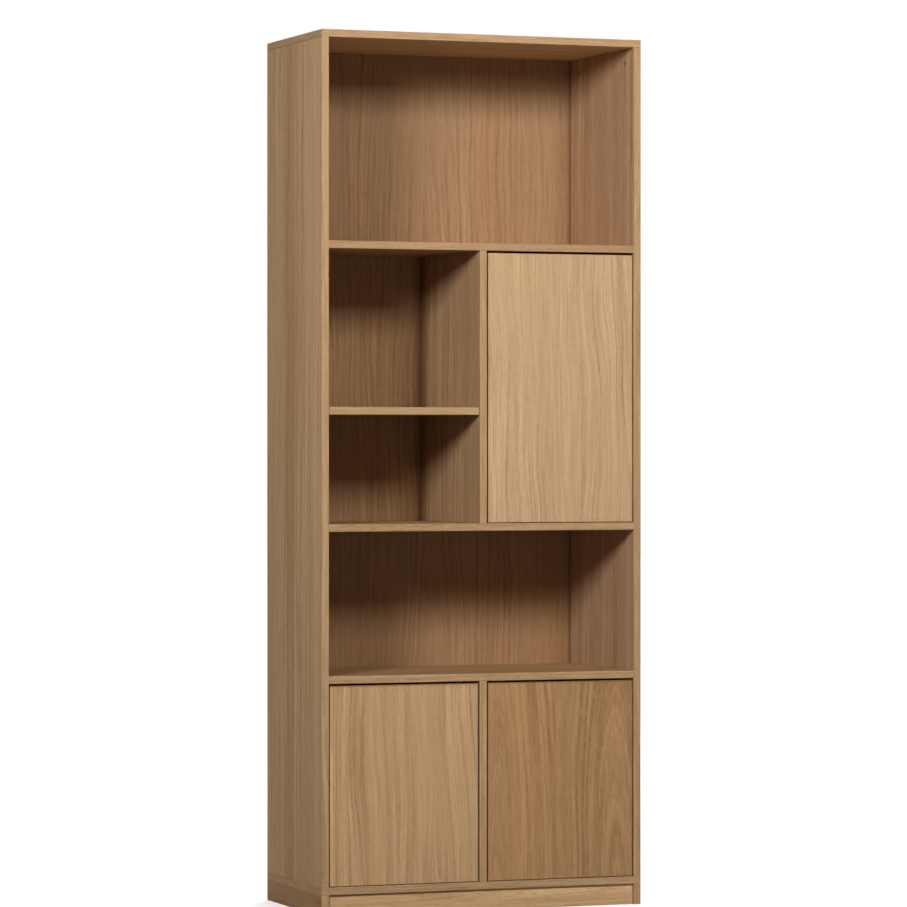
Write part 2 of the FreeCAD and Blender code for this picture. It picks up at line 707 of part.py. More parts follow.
def hang_door(door, hinge, latch, screw, sign, floor, ceiling, side, shelf):
    """A door between the boards, with two hinges on its side and a push latch at its free edge."""
    cup, cup_bore, arm, plate = hinge
    housing, plunger, spring, strike = latch
    if sign == "":
        low_edge = "half_board + door_free_gap + door_left_play"
        high_edge = "side_inner - door_hinge_gap"
    else:
        low_edge = "-(side_inner - door_hinge_gap - door_left_play)"
        high_edge = "-(half_board + door_free_gap)"
    bottom = floor + " + door_bottom_gap"
    top = ceiling + " - door_top_gap"
    leaf = door + "_door"
    board(
        leaf,
        (low_edge, "front + door_setback", bottom),
        (high_edge, "front + door_setback + door_thickness", top),
    )
    to_side = RIGHT if sign == "" else LEFT
    turn = Rotation(REAR, HALF_TURN) if sign == "" else Rotation()
    pivot = sign + "pivot_x"
    for height in (bottom + " + hinge_inset", top + " - hinge_inset"):
        spot = (pivot, "pivot_y", height)
        add_to(door + "_hinge_cups", copy("hinge_cup", cup, spot, turn))
        add_to(door + "_hinge_arms", copy("hinge_arm", arm, spot, turn))
        add_to(door + "_hinge_plates", copy("hinge_plate", plate, spot, turn))
        pin_start = (pivot, "pivot_y", height + " - lug_end")
        add_to(door + "_hinge_pins", rod("hinge_pin", pin_start, UP, "pivot_radius", "2 * lug_end"))
        drill(leaf, copy("door_cup_bore", cup_bore, spot, turn))
        for offset in ("flange_screw_pitch / 2", "-flange_screw_pitch / 2"):
            seat = (pivot, "pivot_y + door_back + flange_thickness", height + " + " + offset)
            add_screw(screw, seat, FRONT, door + "_door_screws", (leaf,))
        for offset in ("wing_screw_pitch / 2", "-wing_screw_pitch / 2"):
            seat = (sign + "(side_inner - wing_thickness)", "pivot_y + arm_inner + wing_offset",
                    height + " + " + offset)
            add_screw(screw, seat, to_side, "hinge_plate_screws", (side,))
    tip_height = ceiling + " - latch_drop"
    tip = (sign + "latch_x", "latch_y", tip_height)
    nodes[door + "_latch_housing"] = copy("latch_housing", housing, tip)
    nodes[door + "_latch_plunger"] = copy("latch_plunger", plunger, tip)
    coil_start = (sign + "latch_x", "latch_y + spring_start", tip_height)
    nodes[door + "_latch_spring"] = copy("latch_spring", spring, coil_start, pointing(REAR))
    nodes[door + "_strike_plate"] = copy("strike", strike, tip)
    for offset in ("latch_screw_pitch / 2", "-latch_screw_pitch / 2"):
        seat = ("%slatch_x + %s" % (sign, offset), "latch_y + latch_front + latch_base_length / 2",
                ceiling + " - latch_base_thickness")
        add_screw(screw, seat, UP, "latch_screws", (shelf,))
    for offset in ("strike_screw_pitch / 2", "-strike_screw_pitch / 2"):
        seat = ("%slatch_x + %s" % (sign, offset), "latch_y - latch_gap", tip_height)
        add_screw(screw, seat, FRONT, door + "_door_screws", (leaf,))


def fix_brackets(bracket, screw):
    """Two wall brackets on the top panel."""
    for across in ("-bracket_x", "bracket_x"):
        add_to("wall_brackets", copy("wall_bracket", bracket, (across, "rear", "top_face")))
        for inset in ("bracket_screw_inset", "bracket_screw_inset + bracket_screw_pitch"):
            seat = (across, "rear - (%s)" % inset, "top_face + bracket_thickness")
            add_screw(screw, seat, DOWN, "bracket_screws", ("top_panel",))


def write_parts():
    """Check every object, then write one file for each sub-part."""
    for thing in doc.Objects:
        if "Invalid" in thing.State or "Error" in thing.State:
            raise RuntimeError("%s is %s" % (thing.Label, thing.State))
    shapes = {}
    for name, thing in nodes.items():
        shape = Part.getShape(thing)
        if shape.isNull() or not shape.isValid():
            raise RuntimeError("%s has no valid shape" % name)
        shapes[name] = shape
    os.makedirs("parts", exist_ok=True)
    for name, shape in shapes.items():
        shape.exportStep("parts/%s.step" % name)
        print("%-28s %3d solids %12.1f mm3" % (name, len(shape.Solids), shape.Volume))


fill_sheets()
make_boards()
make_back()
screw = make_screw()
dowel = make_dowel()
join_boards(make_cam_fitting(), dowel)
join_plinth(dowel)
screw_back(screw)
seat_shelf(make_shelf_pin())
hinge = make_hinge_cup(screw[1]) + (make_hinge_arm(), make_hinge_plate(screw[1]))
latch = make_latch(screw[1])
hang_door("upper", hinge, latch, screw, "", "middle_top", "upper_under", "right_side", "upper_shelf")
hang_door("lower_left", hinge, latch, screw, "-", "bottom_top", "lower_under", "left_side", "lower_shelf")
hang_door("lower_right", hinge, latch, screw, "", "bottom_top", "lower_under", "right_side", "lower_shelf")
fix_brackets(make_bracket(screw[1]), screw)

for name, tools in drills.items():
    nodes[name] = cut(name + "_drilled", nodes[name], tools)
for name, pieces in groups.items():
    nodes[name] = collect(name + "_set", pieces)
for name, thing in nodes.items():
    thing.Label = name
doc.recompute()
write_parts()
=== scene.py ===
import json
import math
import bmesh
import bpy
import numpy as np
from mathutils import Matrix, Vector


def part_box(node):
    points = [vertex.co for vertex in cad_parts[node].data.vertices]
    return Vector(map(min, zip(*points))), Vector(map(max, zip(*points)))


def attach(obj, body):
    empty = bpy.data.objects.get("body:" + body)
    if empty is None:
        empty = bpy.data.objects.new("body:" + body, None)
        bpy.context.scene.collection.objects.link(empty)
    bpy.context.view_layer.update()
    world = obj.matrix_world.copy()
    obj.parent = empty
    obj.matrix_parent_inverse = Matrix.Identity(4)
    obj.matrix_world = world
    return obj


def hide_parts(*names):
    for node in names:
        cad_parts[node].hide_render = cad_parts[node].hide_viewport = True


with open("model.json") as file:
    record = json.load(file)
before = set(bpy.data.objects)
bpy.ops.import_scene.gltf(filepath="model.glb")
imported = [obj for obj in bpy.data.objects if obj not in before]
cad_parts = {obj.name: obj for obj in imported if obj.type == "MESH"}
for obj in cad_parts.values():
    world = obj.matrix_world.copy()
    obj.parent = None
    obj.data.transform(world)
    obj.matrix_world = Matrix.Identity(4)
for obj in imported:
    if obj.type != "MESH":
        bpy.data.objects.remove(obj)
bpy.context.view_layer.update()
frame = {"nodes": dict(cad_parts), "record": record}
nodes = frame["nodes"]

X, Y, Z = 0, 1, 2
MM = 0.001
MERGE = 1e-6
SHARP = math.radians(38.0)

# Places of the boards' faces and middles, in millimetres.
BOARD_HALF = 9.0
SIDE_FACE = 392.0
SIDE_MIDDLE = SIDE_FACE + BOARD_HALF
BACK_FACE = 197.0
TOP_FACE = 2082.0
BOTTOM_FACE = 68.0
PLINTH_TOP = 50.0
PLINTH_MIDDLE = 25.0
UPPER_SHELF = 1591.0
MIDDLE_SHELF = 919.0
LOWER_SHELF = 559.0


class Flow:
    """A number in a node tree. Arithmetic on flows adds Math nodes, so a pattern reads as its formula."""

    def __init__(self, tree, outlet):
        self.tree = tree
        self.outlet = outlet

    def step(self, operation, *others):
        """One Math node fed by this flow and by other flows or plain numbers."""
        node = self.tree.nodes.new("ShaderNodeMath")
        node.operation = operation
        for socket, value in zip(node.inputs, (self,) + others):
            feed(self.tree, socket, value)
        return Flow(self.tree, node.outputs[0])

    def __add__(self, other):
        return self.step("ADD", other)

    def __sub__(self, other):
        return self.step("SUBTRACT", other)

    def __mul__(self, other):
        return self.step("MULTIPLY", other)

    def __truediv__(self, other):
        return self.step("DIVIDE", other)

    def rise(self, low, high, bottom=0.0, top=1.0):
        """A smooth step from bottom to top as the flow goes from low to high."""
        node = self.tree.nodes.new("ShaderNodeMapRange")
        node.interpolation_type = "SMOOTHSTEP"
        for socket, value in zip(node.inputs, (self, low, high, bottom, top)):
            feed(self.tree, socket, value)
        return Flow(self.tree, node.outputs[0])


def feed(tree, socket, value):
    """Link a flow to a socket, or set a plain value on it."""
    if isinstance(value, Flow):
        tree.links.new(value.outlet, socket)
    else:
        socket.default_value = value


def joined(tree, x, y, z):
    """A vector of three flows or numbers."""
    node = tree.nodes.new("ShaderNodeCombineXYZ")
    for socket, value in zip(node.inputs, (x, y, z)):
        feed(tree, socket, value)
    return Flow(tree, node.outputs[0])


def parted(tree, vector):
    """The three flows of a vector."""
    node = tree.nodes.new("ShaderNodeSeparateXYZ")
    feed(tree, node.inputs[0], vector)
    return [Flow(tree, outlet) for outlet in node.outputs]


def noise(tree, vector, detail, roughness=0.5):
    """Smooth noise from 0 to 1, one swell to each unit of the vector."""
    node = tree.nodes.new("ShaderNodeTexNoise")
    feed(tree, node.inputs["Vector"], vector)
    node.inputs["Scale"].default_value = 1.0
    node.inputs["Detail"].default_value = detail
    node.inputs["Roughness"].default_value = roughness
    return Flow(tree, node.outputs["Fac"])


def chance(tree, vector):
    """Three random flows that stay the same while the vector does."""
    node = tree.nodes.new("ShaderNodeTexWhiteNoise")
    node.noise_dimensions = "3D"
    feed(tree, node.inputs["Vector"], vector)
    return parted(tree, Flow(tree, node.outputs["Color"]))


def blended(tree, share, one, other, mode="MIX"):
    """Two colours mixed by a share from 0 to 1."""
    node = tree.nodes.new("ShaderNodeMix")
    node.data_type = "RGBA"
    node.blend_type = mode
    feed(tree, node.inputs[0], share)
    feed(tree, node.inputs[6], one)
    feed(tree, node.inputs[7], other)
    return Flow(tree, node.outputs[2])


def bumped(tree, height, strength, distance):
    """A surface normal roughened by a height flow."""
    node = tree.nodes.new("ShaderNodeBump")
    node.inputs["Strength"].default_value = strength
    node.inputs["Distance"].default_value = distance
    feed(tree, node.inputs["Height"], height)
    return Flow(tree, node.outputs["Normal"])


VENEER_INPUTS = (
    ("Across", 0.0),
    ("Along", 0.0),
    ("Leaf seed", 0.0),
    ("Leaf start", 0.0),
    ("Leaf width", 0.15),
    ("Pith offset", 0.24),
    ("Pith depth", 0.05),
    ("Taper", 0.03),
    ("Wander", 0.016),
    ("Line rate", 120.0),
    ("Line depth", 1.5),
    ("Wave depth", 0.05),
    ("Vein depth", 0.15),
    ("Band depth", 0.5),
    ("Streak depth", 0.9),
    ("Streak rate", 14.0),
    ("Stripe rate", 15.0),
    ("Stripe depth", 0.4),
    ("Stripe shade", 0.1),
    ("Leaf depth", 0.12),
    ("Leaf warmth", 0.4),
    ("Warmth", 1.0),
)
MIDDLE = 0.5

# Swells of each noise to a metre: across the leaf or its rings, and along the grain.
BEND_RATES = (4.0, 1.3)
RIPPLE_RATES = (22.0, 5.0)
VEIN_RATES = (60.0, 0.7)
DASH_RATES = (300.0, 48.0)
PATCH_RATES = (8.0, 1.3)
BAND_RATES = (34.0, 0.6)
FIBRE_RATES = (1300.0, 22.0)
PORE_RATES = (1500.0, 55.0)
STREAK_ACROSS = 240.0
SWELL_ALONG = 2.2
LINE_ALONG = 1.2
STRIPE_ALONG = 0.4

# Shifts that keep the leaves and the noises apart.
SEED_SHIFT = 7.3
LEAF_SHIFT = 1.7
DASH_SHIFT = 2.0
BAND_SHIFT = 4.0
PATCH_SHIFT = 6.0
VEIN_SHIFT = 8.0
PORE_SHIFT = 9.0
LEAF_DRAW = 0.5
YEAR_DRAW = 3.1

# Shares of the parts of the pattern. A smooth step is given as its start, its end and its two levels.
BEND_SHARE = 2.0
RIPPLE_SHARE = 0.35
PITH_LEAST = 0.7
PITH_SPREAD = 0.6
PITH_SWELL = 0.8
WAVE_RATE = 450.0
WAVE_BEND = 10.0
VEIN_STEP = (0.0, 0.1, 1.0, 0.0)
VEIN_MEAN = 0.28
DASH_STEP = (0.3, 0.7, 0.45, 1.55)
PATCH_STEP = (0.35, 0.65, 0.4, 1.6)
RING_WIDTH = 0.0028
RING_BEND = 3.0
EARLY_START = (0.0, 0.22)
EARLY_END = (0.25, 0.95, 1.0, 0.0)
YEAR_LEAST = 0.3
YEAR_SPREAD = 0.8
PORE_STEP = (0.60, 0.72)
PORE_LEAST = 0.2
PORE_SPREAD = 0.8
WARM_STEP = (0.34, 0.66)
FIGURE_MEAN = 0.3
FIGURE_DEPTH = 0.16
FIBRE_DEPTH = 0.12
FIBRE_ROUGH = 0.10
PORE_ROUGH = 0.12
LEAST_ROUGH = 0.58
FIBRE_HEIGHT = 0.35
PORE_SINK = 0.8
FIGURE_SINK = 0.25
LATE_WOOD = (1.27, 1.31, 1.37, 1.0)
EARLY_WOOD = (0.73, 0.69, 0.63, 1.0)
WARM_WOOD = (1.0, 0.90, 0.84, 1.0)
PORE = (0.80, 0.74, 0.68, 1.0)


def veneer_group():
    """Sliced oak veneer on a leaf measured across and along the grain.

    Each leaf is a flat cut beside the pith of a tapering trunk, so the year ring at a point is its
    distance from the pith, sqrt(x^2 + (depth + taper * along)^2), bent by slow noise. Good and bad years
    come as lines, waves and bands along that distance, and thin dark veins run where a noise crosses its
    middle. Rows of pores break the lines into dashes, and some patches of the leaf show them more. Single
    rings, streaks, fibres and short pores lie on them.
    """
    tree = bpy.data.node_groups.new("oak_veneer", "ShaderNodeTree")
    for name, value in VENEER_INPUTS:
        socket = tree.interface.new_socket(name=name, in_out="INPUT", socket_type="NodeSocketFloat")
        socket.default_value = value
    tree.interface.new_socket(name="Tone", in_out="INPUT", socket_type="NodeSocketColor")
    tree.interface.new_socket(name="Color", in_out="OUTPUT", socket_type="NodeSocketColor")
    for name in ("Roughness", "Height"):
        tree.interface.new_socket(name=name, in_out="OUTPUT", socket_type="NodeSocketFloat")
    start = tree.nodes.new("NodeGroupInput")
    end = tree.nodes.new("NodeGroupOutput")
    given = {outlet.name: Flow(tree, outlet) for outlet in start.outputs if outlet.name}
    across, along, seed = given["Across"], given["Along"], given["Leaf seed"]

    place = (across - given["Leaf start"]) / given["Leaf width"]
    leaf = place.step("FLOOR")
    luck, luck_two, luck_three = chance(tree, joined(tree, leaf, seed, LEAF_DRAW))
    shade = seed * SEED_SHIFT + leaf * LEAF_SHIFT

    def field(x, y, rates, shift=0.0, **kind):
        """A noise with its rates across and along, different on each leaf."""
        return noise(tree, joined(tree, x * rates[0], y * rates[1], shade + shift), **kind)

    bend = field(across, along, BEND_RATES, detail=1.0) - MIDDLE
    ripple = field(across, along, RIPPLE_RATES, detail=1.0) - MIDDLE
    sway = bend * given["Wander"] * BEND_SHARE + ripple * given["Wander"] * RIPPLE_SHARE
    in_leaf = (place - leaf - MIDDLE) * given["Leaf width"]
    from_pith = in_leaf + sway + given["Pith offset"] * (luck + MIDDLE)
    swell = noise(tree, joined(tree, along * SWELL_ALONG, shade, 0.0), detail=2.0) - MIDDLE
    pith = luck_two * PITH_SPREAD + PITH_LEAST + swell * PITH_SWELL
    depth = given["Pith depth"] * pith + given["Taper"] * along
    radius = (from_pith * from_pith + depth * depth).step("SQRT")

    line = field(radius, along, (given["Line rate"], LINE_ALONG), detail=3.0, roughness=0.62) - MIDDLE
    wave = (radius * WAVE_RATE + line * WAVE_BEND).step("SINE")
    vein_field = field(radius, along, VEIN_RATES, VEIN_SHIFT, detail=1.0)
    vein = (vein_field - MIDDLE).step("ABSOLUTE").rise(*VEIN_STEP)
    dash = field(across, along, DASH_RATES, DASH_SHIFT, detail=1.0)
    patch = field(across, along, PATCH_RATES, PATCH_SHIFT, detail=1.0)
    drawn = line * given["Line depth"] + wave * given["Wave depth"]
    drawn = drawn + (vein - VEIN_MEAN) * given["Vein depth"]
    drawn = drawn * dash.rise(*DASH_STEP) * patch.rise(*PATCH_STEP)
    band = field(radius, along, BAND_RATES, BAND_SHIFT, detail=1.0) - MIDDLE
    ring = radius / RING_WIDTH + line * RING_BEND
    phase = ring.step("FRACT")
    year = chance(tree, joined(tree, ring.step("FLOOR"), shade, YEAR_DRAW))[0]
    early = phase.rise(*EARLY_START) * phase.rise(*EARLY_END)
    figure = early * (year * YEAR_SPREAD + YEAR_LEAST)

    bent = across + sway
    stripe = field(bent, along, (given["Stripe rate"], STRIPE_ALONG), detail=2.0)
    streak = field(bent, along, (STREAK_ACROSS, given["Streak rate"]), detail=2.0) - MIDDLE
    fibre = field(across, along, FIBRE_RATES, detail=2.0)
    pore_field = field(across, along, PORE_RATES, PORE_SHIFT, detail=0.0)
    pore = pore_field.rise(*PORE_STEP) * (early * PORE_SPREAD + PORE_LEAST)

    dark = drawn + band * given["Band depth"] + streak * given["Streak depth"]
    dark = dark + (stripe - MIDDLE) * given["Stripe shade"] + (luck_three - MIDDLE) * given["Leaf depth"]
    dark = dark + (figure - FIGURE_MEAN) * FIGURE_DEPTH + (fibre - MIDDLE) * FIBRE_DEPTH + MIDDLE
    wood = blended(tree, 1.0, given["Tone"], blended(tree, dark, LATE_WOOD, EARLY_WOOD), mode="MULTIPLY")
    warmth = stripe.rise(*WARM_STEP) * given["Stripe depth"] + luck * given["Leaf warmth"]
    wood = blended(tree, warmth * given["Warmth"], wood, WARM_WOOD, mode="MULTIPLY")
    wood = blended(tree, pore, wood, PORE, mode="MULTIPLY")
    tree.links.new(wood.outlet, end.inputs["Color"])
    rough = fibre * FIBRE_ROUGH + pore * PORE_ROUGH + LEAST_ROUGH
    tree.links.new(rough.outlet, end.inputs["Roughness"])
    height = fibre * FIBRE_HEIGHT - pore * PORE_SINK - figure * FIGURE_SINK
    tree.links.new(height.outlet, end.inputs["Height"])
    return tree


VENEER = veneer_group()


def new_material(name):
    """A material with its shader, ready for its pattern."""
    material = bpy.data.materials.new(name)
    material.use_nodes = True
    shader = material.node_tree.nodes["Principled BSDF"]
    return material, material.node_tree, shader


def srgb(red, green, blue):
    """A colour given in display values from 0 to 255, as the linear colour that shaders take."""
    levels = np.array((red, green, blue)) / 255.0
    linear = np.where(levels <= 0.04045, levels / 12.92, ((levels + 0.055) / 1.055) ** 2.4)
    return tuple(linear) + (1.0,)


EDGE_TONE = (176, 143, 106)
EDGE_WARMTH = 0.3
# Painted shade for inner corners: a colour multiplied in where the shade falls.
PAINTED_CORNER_SHADE = (0.55, 0.50, 0.45, 1.0)
# Painted shade for the doors' rims, standing in for the dark gaps and for the shelf's shadow on the door
# tops.
PAINTED_RIM_SHADE = (0.62, 0.48, 0.34, 1.0)
EDGE_FIGURE = {"Line depth": 0.8, "Band depth": 0.15, "Stripe shade": 0.05, "Leaf depth": 0.05}
REAR_LEAF = 2.3
EDGE_LEAF = 4.1
END_LEAF = 1.9


def oak(name, seed, grain, wide, thin, tone, edge=EDGE_TONE, far=None, corners=(), shade=PAINTED_CORNER_SHADE, **figure):
    """Veneer on a board: leaves on its faces, and bands along its edges.

    On the faces the leaf lies wide by grain. On the long edges it lies thin by grain, and on the ends,
    where the grain would show end on, thin by wide. The tones are the wood's average colours in display
    values: the faces', the far face's where it differs, and the edge bands', which are less warm. A painted
    shade lies along each inner corner or rim but not on the far face: a darker colour that stands in for
    the shade which falls in the corners and in the gaps round the doors. Each corner is an axis, a place
    on it and the painted shade's reach.
    """
    material, tree, shader = new_material(name)
    coordinates = tree.nodes.new("ShaderNodeTexCoord")
    place = parted(tree, Flow(tree, coordinates.outputs["Object"]))
    facing = parted(tree, Flow(tree, coordinates.outputs["Normal"]))
    is_end = facing[grain].step("ABSOLUTE").step("GREATER_THAN", MIDDLE)
    is_edge = facing[wide].step("ABSOLUTE").step("GREATER_THAN", MIDDLE).step("MAXIMUM", is_end)
    is_rear = facing[thin].step("GREATER_THAN", MIDDLE)
    along = place[grain] + (place[wide] - place[grain]) * is_end
    across = place[wide] + (place[thin] - place[wide]) * is_edge
    group = tree.nodes.new("ShaderNodeGroup")
    group.node_tree = VENEER
    feed(tree, group.inputs["Across"], across)
    feed(tree, group.inputs["Along"], along)
    leaf_seed = is_rear * REAR_LEAF + is_edge * EDGE_LEAF + is_end * END_LEAF + seed
    feed(tree, group.inputs["Leaf seed"], leaf_seed)
    feed(tree, group.inputs["Warmth"], is_edge * (EDGE_WARMTH - 1.0) + 1.0)
    face_tone = blended(tree, is_rear, srgb(*tone), srgb(*(far or tone)))
    feed(tree, group.inputs["Tone"], blended(tree, is_edge, face_tone, srgb(*edge)))
    for label, value in figure.items():
        group.inputs[label.replace("_", " ").capitalize()].default_value = value
    for label, level in EDGE_FIGURE.items():
        face = group.inputs[label].default_value
        feed(tree, group.inputs[label], is_edge * (level - face) + face)
    colour = Flow(tree, group.outputs["Color"])
    # Painted shade: towards each corner or rim the colour is multiplied by the shade colour, standing in for
    # the shade that falls there.
    for axis, spot, reach in corners:
        near = (place[axis] - spot).step("ABSOLUTE").rise(0.0, reach, 1.0, 0.0)
        colour = blended(tree, near - near * is_rear, colour, shade, mode="MULTIPLY")
    tree.links.new(colour.outlet, shader.inputs["Base Color"])
    tree.links.new(group.outputs["Roughness"], shader.inputs["Roughness"])
    shader.inputs["IOR"].default_value = 1.45
    shader.inputs["Specular IOR Level"].default_value = 0.05
    normal = bumped(tree, Flow(tree, group.outputs["Height"]), strength=0.35, distance=0.0002)
    tree.links.new(normal.outlet, shader.inputs["Normal"])
    return material


CLOUD_STEP = (0.3, 0.7)
METAL_SKIN = 9.0
METAL_SHADE = 0.7
CLOUD_ROUGH = 0.2
SKIN_ROUGH = 0.1
PLASTIC_CLOUD = 60.0
PLASTIC_GRAIN = 2500.0
PLASTIC_SHADE = 0.85
GRAIN_ROUGH = 0.2


def metal(name, colour, roughness, scale):
    """Plated or cast metal: cloudy colour and a fine uneven skin."""
    material, tree, shader = new_material(name)
    coordinates = tree.nodes.new("ShaderNodeTexCoord")
    x, y, z = parted(tree, Flow(tree, coordinates.outputs["Object"]))
    cloud = noise(tree, joined(tree, x * scale, y * scale, z * scale), detail=3.0)
    fine = scale * METAL_SKIN
    skin = noise(tree, joined(tree, x * fine, y * fine, z * fine), detail=2.0)
    darker = tuple(level * METAL_SHADE for level in colour[:3]) + (1.0,)
    tint = blended(tree, cloud.rise(*CLOUD_STEP), colour, darker)
    tree.links.new(tint.outlet, shader.inputs["Base Color"])
    rough = cloud * CLOUD_ROUGH + skin * SKIN_ROUGH + (roughness - (CLOUD_ROUGH + SKIN_ROUGH) * MIDDLE)
    tree.links.new(rough.outlet, shader.inputs["Roughness"])
    shader.inputs["Metallic"].default_value = 1.0
    normal = bumped(tree, skin, strength=0.15, distance=0.0001)
    tree.links.new(normal.outlet, shader.inputs["Normal"])
    return material


def plastic(name, colour, roughness):
    """Moulded plastic with a fine spark-eroded texture."""
    material, tree, shader = new_material(name)
    coordinates = tree.nodes.new("ShaderNodeTexCoord")
    x, y, z = parted(tree, Flow(tree, coordinates.outputs["Object"]))
    cloud = noise(tree, joined(tree, x * PLASTIC_CLOUD, y * PLASTIC_CLOUD, z * PLASTIC_CLOUD), detail=2.0)
    erosion = noise(tree, joined(tree, x * PLASTIC_GRAIN, y * PLASTIC_GRAIN, z * PLASTIC_GRAIN), detail=2.0)
    darker = tuple(level * PLASTIC_SHADE for level in colour[:3]) + (1.0,)
    tint = blended(tree, cloud.rise(*CLOUD_STEP), colour, darker)
    tree.links.new(tint.outlet, shader.inputs["Base Color"])
    rough = erosion * GRAIN_ROUGH + (roughness - GRAIN_ROUGH * MIDDLE)
    tree.links.new(rough.outlet, shader.inputs["Roughness"])
    normal = bumped(tree, erosion, strength=0.3, distance=0.0001)
    tree.links.new(normal.outlet, shader.inputs["Normal"])
    return material


def finish(name, material):
    """Give a CAD node its material."""
    mesh = nodes[name].data
    mesh.materials.clear()
    mesh.materials.append(material)


UPRIGHT = dict(grain=Z, wide=Y, thin=X)
LEVEL = dict(grain=X, wide=Y, thin=Z)
FRONTAL = dict(grain=Z, wide=X, thin=Y)
PLINTH_SIDE = dict(grain=Y, wide=Z, thin=X)
PLINTH_RAIL = dict(grain=X, wide=Z, thin=Y)

# How the veneer of each kind of board differs from the group's own values.
DASHED = dict(
    streak_depth=0.8, streak_rate=10.0, line_depth=0.7, wave_depth=0.09, vein_depth=0.1, band_depth=0.1,
    leaf_width=0.13, leaf_depth=0.05, stripe_shade=0.0, leaf_warmth=0.4, wander=0.04,
)
STRAIGHT = dict(
    leaf_width=0.19, leaf_depth=0.04, band_depth=0.05, streak_rate=6.0, line_depth=0.75, vein_depth=0.15,
    stripe_depth=0.15, leaf_warmth=0.2, wander=0.05,
)
BANDED = dict(
    leaf_width=0.19, leaf_depth=0.05, band_depth=0.6, streak_rate=6.0, line_depth=1.1, vein_depth=0.28,
    stripe_depth=0.15, leaf_warmth=0.15, wander=0.05,
)
FLAMED = dict(
    pith_offset=0.0, pith_depth=0.03, taper=0.055, leaf_width=0.312, leaf_start=0.189,
    line_depth=1.0, vein_depth=0.25, streak_depth=0.8, wander=0.03,
)
STRIPED = dict(
    leaf_width=0.075, leaf_depth=0.2, line_depth=1.2, stripe_rate=25.0, stripe_depth=0.45,
    stripe_shade=0.5, wander=0.03,
)
STRIPS = dict(STRIPED, leaf_depth=0.5, line_depth=1.5, streak_depth=0.7)
LAID = dict(pith_offset=0.0, pith_depth=0.02, taper=0.02, leaf_width=0.09, leaf_start=-0.01, line_depth=2.2)

# Reaches in metres of the painted shade: in the corners where the back panels meet the side walls and the
# divider, where the upper divider meets the back, and along the doors' upright rims.
WALL_SHADE = 0.012
DIVIDER_SHADE = 0.03
BACK_SHADE = 0.07
SIDE_RIM = 0.0015
WALL_CORNERS = ((X, -SIDE_FACE * MM, WALL_SHADE), (X, SIDE_FACE * MM, WALL_SHADE))
MIDDLE_CORNERS = ((X, -BOARD_HALF * MM, DIVIDER_SHADE), (X, BOARD_HALF * MM, DIVIDER_SHADE))
DIVIDER_CORNERS = ((Y, BACK_FACE * MM, BACK_SHADE),)


def rims(door, top_rim):
    """Painted shade along a door's upright rims, and a painted shadow under its upper rim."""
    low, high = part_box(door)
    corners = ((X, low[X], SIDE_RIM), (X, high[X], SIDE_RIM), (Z, high[Z], top_rim))
    return dict(corners=corners, shade=PAINTED_RIM_SHADE)


# Each board's leaf, the way that its grain lies, its tone and its figure.
BOARDS = {
    "top_panel": (1.0, LEVEL, (196, 162, 121), {}),
    "bottom_panel": (2.0, LEVEL, (176, 142, 104), {}),
    # The upper shelf's top face is paler than its underside, so that it bounces more light into the bay
    # above.
    "upper_shelf": (3.0, LEVEL, (158, 125, 90), dict(far=(204, 171, 131), edge=(170, 136, 101))),
    "middle_shelf": (4.0, LEVEL, (166, 132, 96), {}),
    "lower_shelf": (5.0, LEVEL, (168, 133, 96), {}),
    "loose_shelf": (6.0, LEVEL, (166, 132, 96), {}),
    "left_side": (7.0, UPRIGHT, (185, 152, 114), STRIPS),
    "right_side": (8.0, UPRIGHT, (174, 142, 110), dict(STRIPED, far=(183, 150, 114))),
    "upper_divider": (9.0, UPRIGHT, (171, 141, 106), dict(STRIPED, corners=DIVIDER_CORNERS)),
    "lower_divider": (10.0, UPRIGHT, (170, 138, 102), STRIPED),
    "plinth_left": (11.0, PLINTH_SIDE, (168, 133, 96), LAID),
    "plinth_right": (12.0, PLINTH_SIDE, (168, 133, 96), LAID),
    "plinth_front": (13.0, PLINTH_RAIL, (196, 160, 119), LAID),
    "plinth_rear": (14.0, PLINTH_RAIL, (180, 145, 106), LAID),
    "back_top": (15.0, FRONTAL, (155, 124, 92), dict(DASHED, corners=WALL_CORNERS)),
    "back_middle": (16.0, FRONTAL, (156, 123, 89), dict(DASHED, corners=WALL_CORNERS + MIDDLE_CORNERS)),
    "back_bottom": (17.0, FRONTAL, (152, 120, 87), dict(DASHED, corners=WALL_CORNERS)),
    # On the doors, rims() adds painted shade along the rims; top_rim is the reach of the painted shadow
    # under the upper rim.
    "upper_door": (18.0, FRONTAL, (187, 155, 118), dict(STRAIGHT, **rims("upper_door", top_rim=0.001))),
    "lower_left_door": (
        19.0, FRONTAL, (186, 151, 112), dict(BANDED, **rims("lower_left_door", top_rim=0.006)),
    ),
    "lower_right_door": (
        20.0, FRONTAL, (169, 133, 93), dict(FLAMED, **rims("lower_right_door", top_rim=0.005)),
    ),
}
for name, (seed, lie, tone, figure) in BOARDS.items():
    finish(name, oak(name + "_oak", seed, tone=tone, **lie, **figure))

NICKEL = metal("nickel_plate", (0.66, 0.64, 0.60, 1.0), roughness=0.32, scale=90.0)
BRONZE = metal("bronzed_steel", (0.20, 0.14, 0.09, 1.0), roughness=0.45, scale=140.0)
WIRE = metal("spring_wire", (0.55, 0.55, 0.56, 1.0), roughness=0.30, scale=300.0)
GREY = plastic("grey_plastic", (0.11, 0.10, 0.09, 1.0), roughness=0.5)
DARK = plastic("dark_plastic", (0.035, 0.035, 0.035, 1.0), roughness=0.45)
TAN = plastic("tan_lacquer", srgb(146, 112, 82), roughness=0.5)
PALE_WOOD = (214, 174, 130)
BEECH = oak("beech_dowel", 31.0, **FRONTAL, tone=PALE_WOOD, edge=PALE_WOOD, line_depth=0.4)

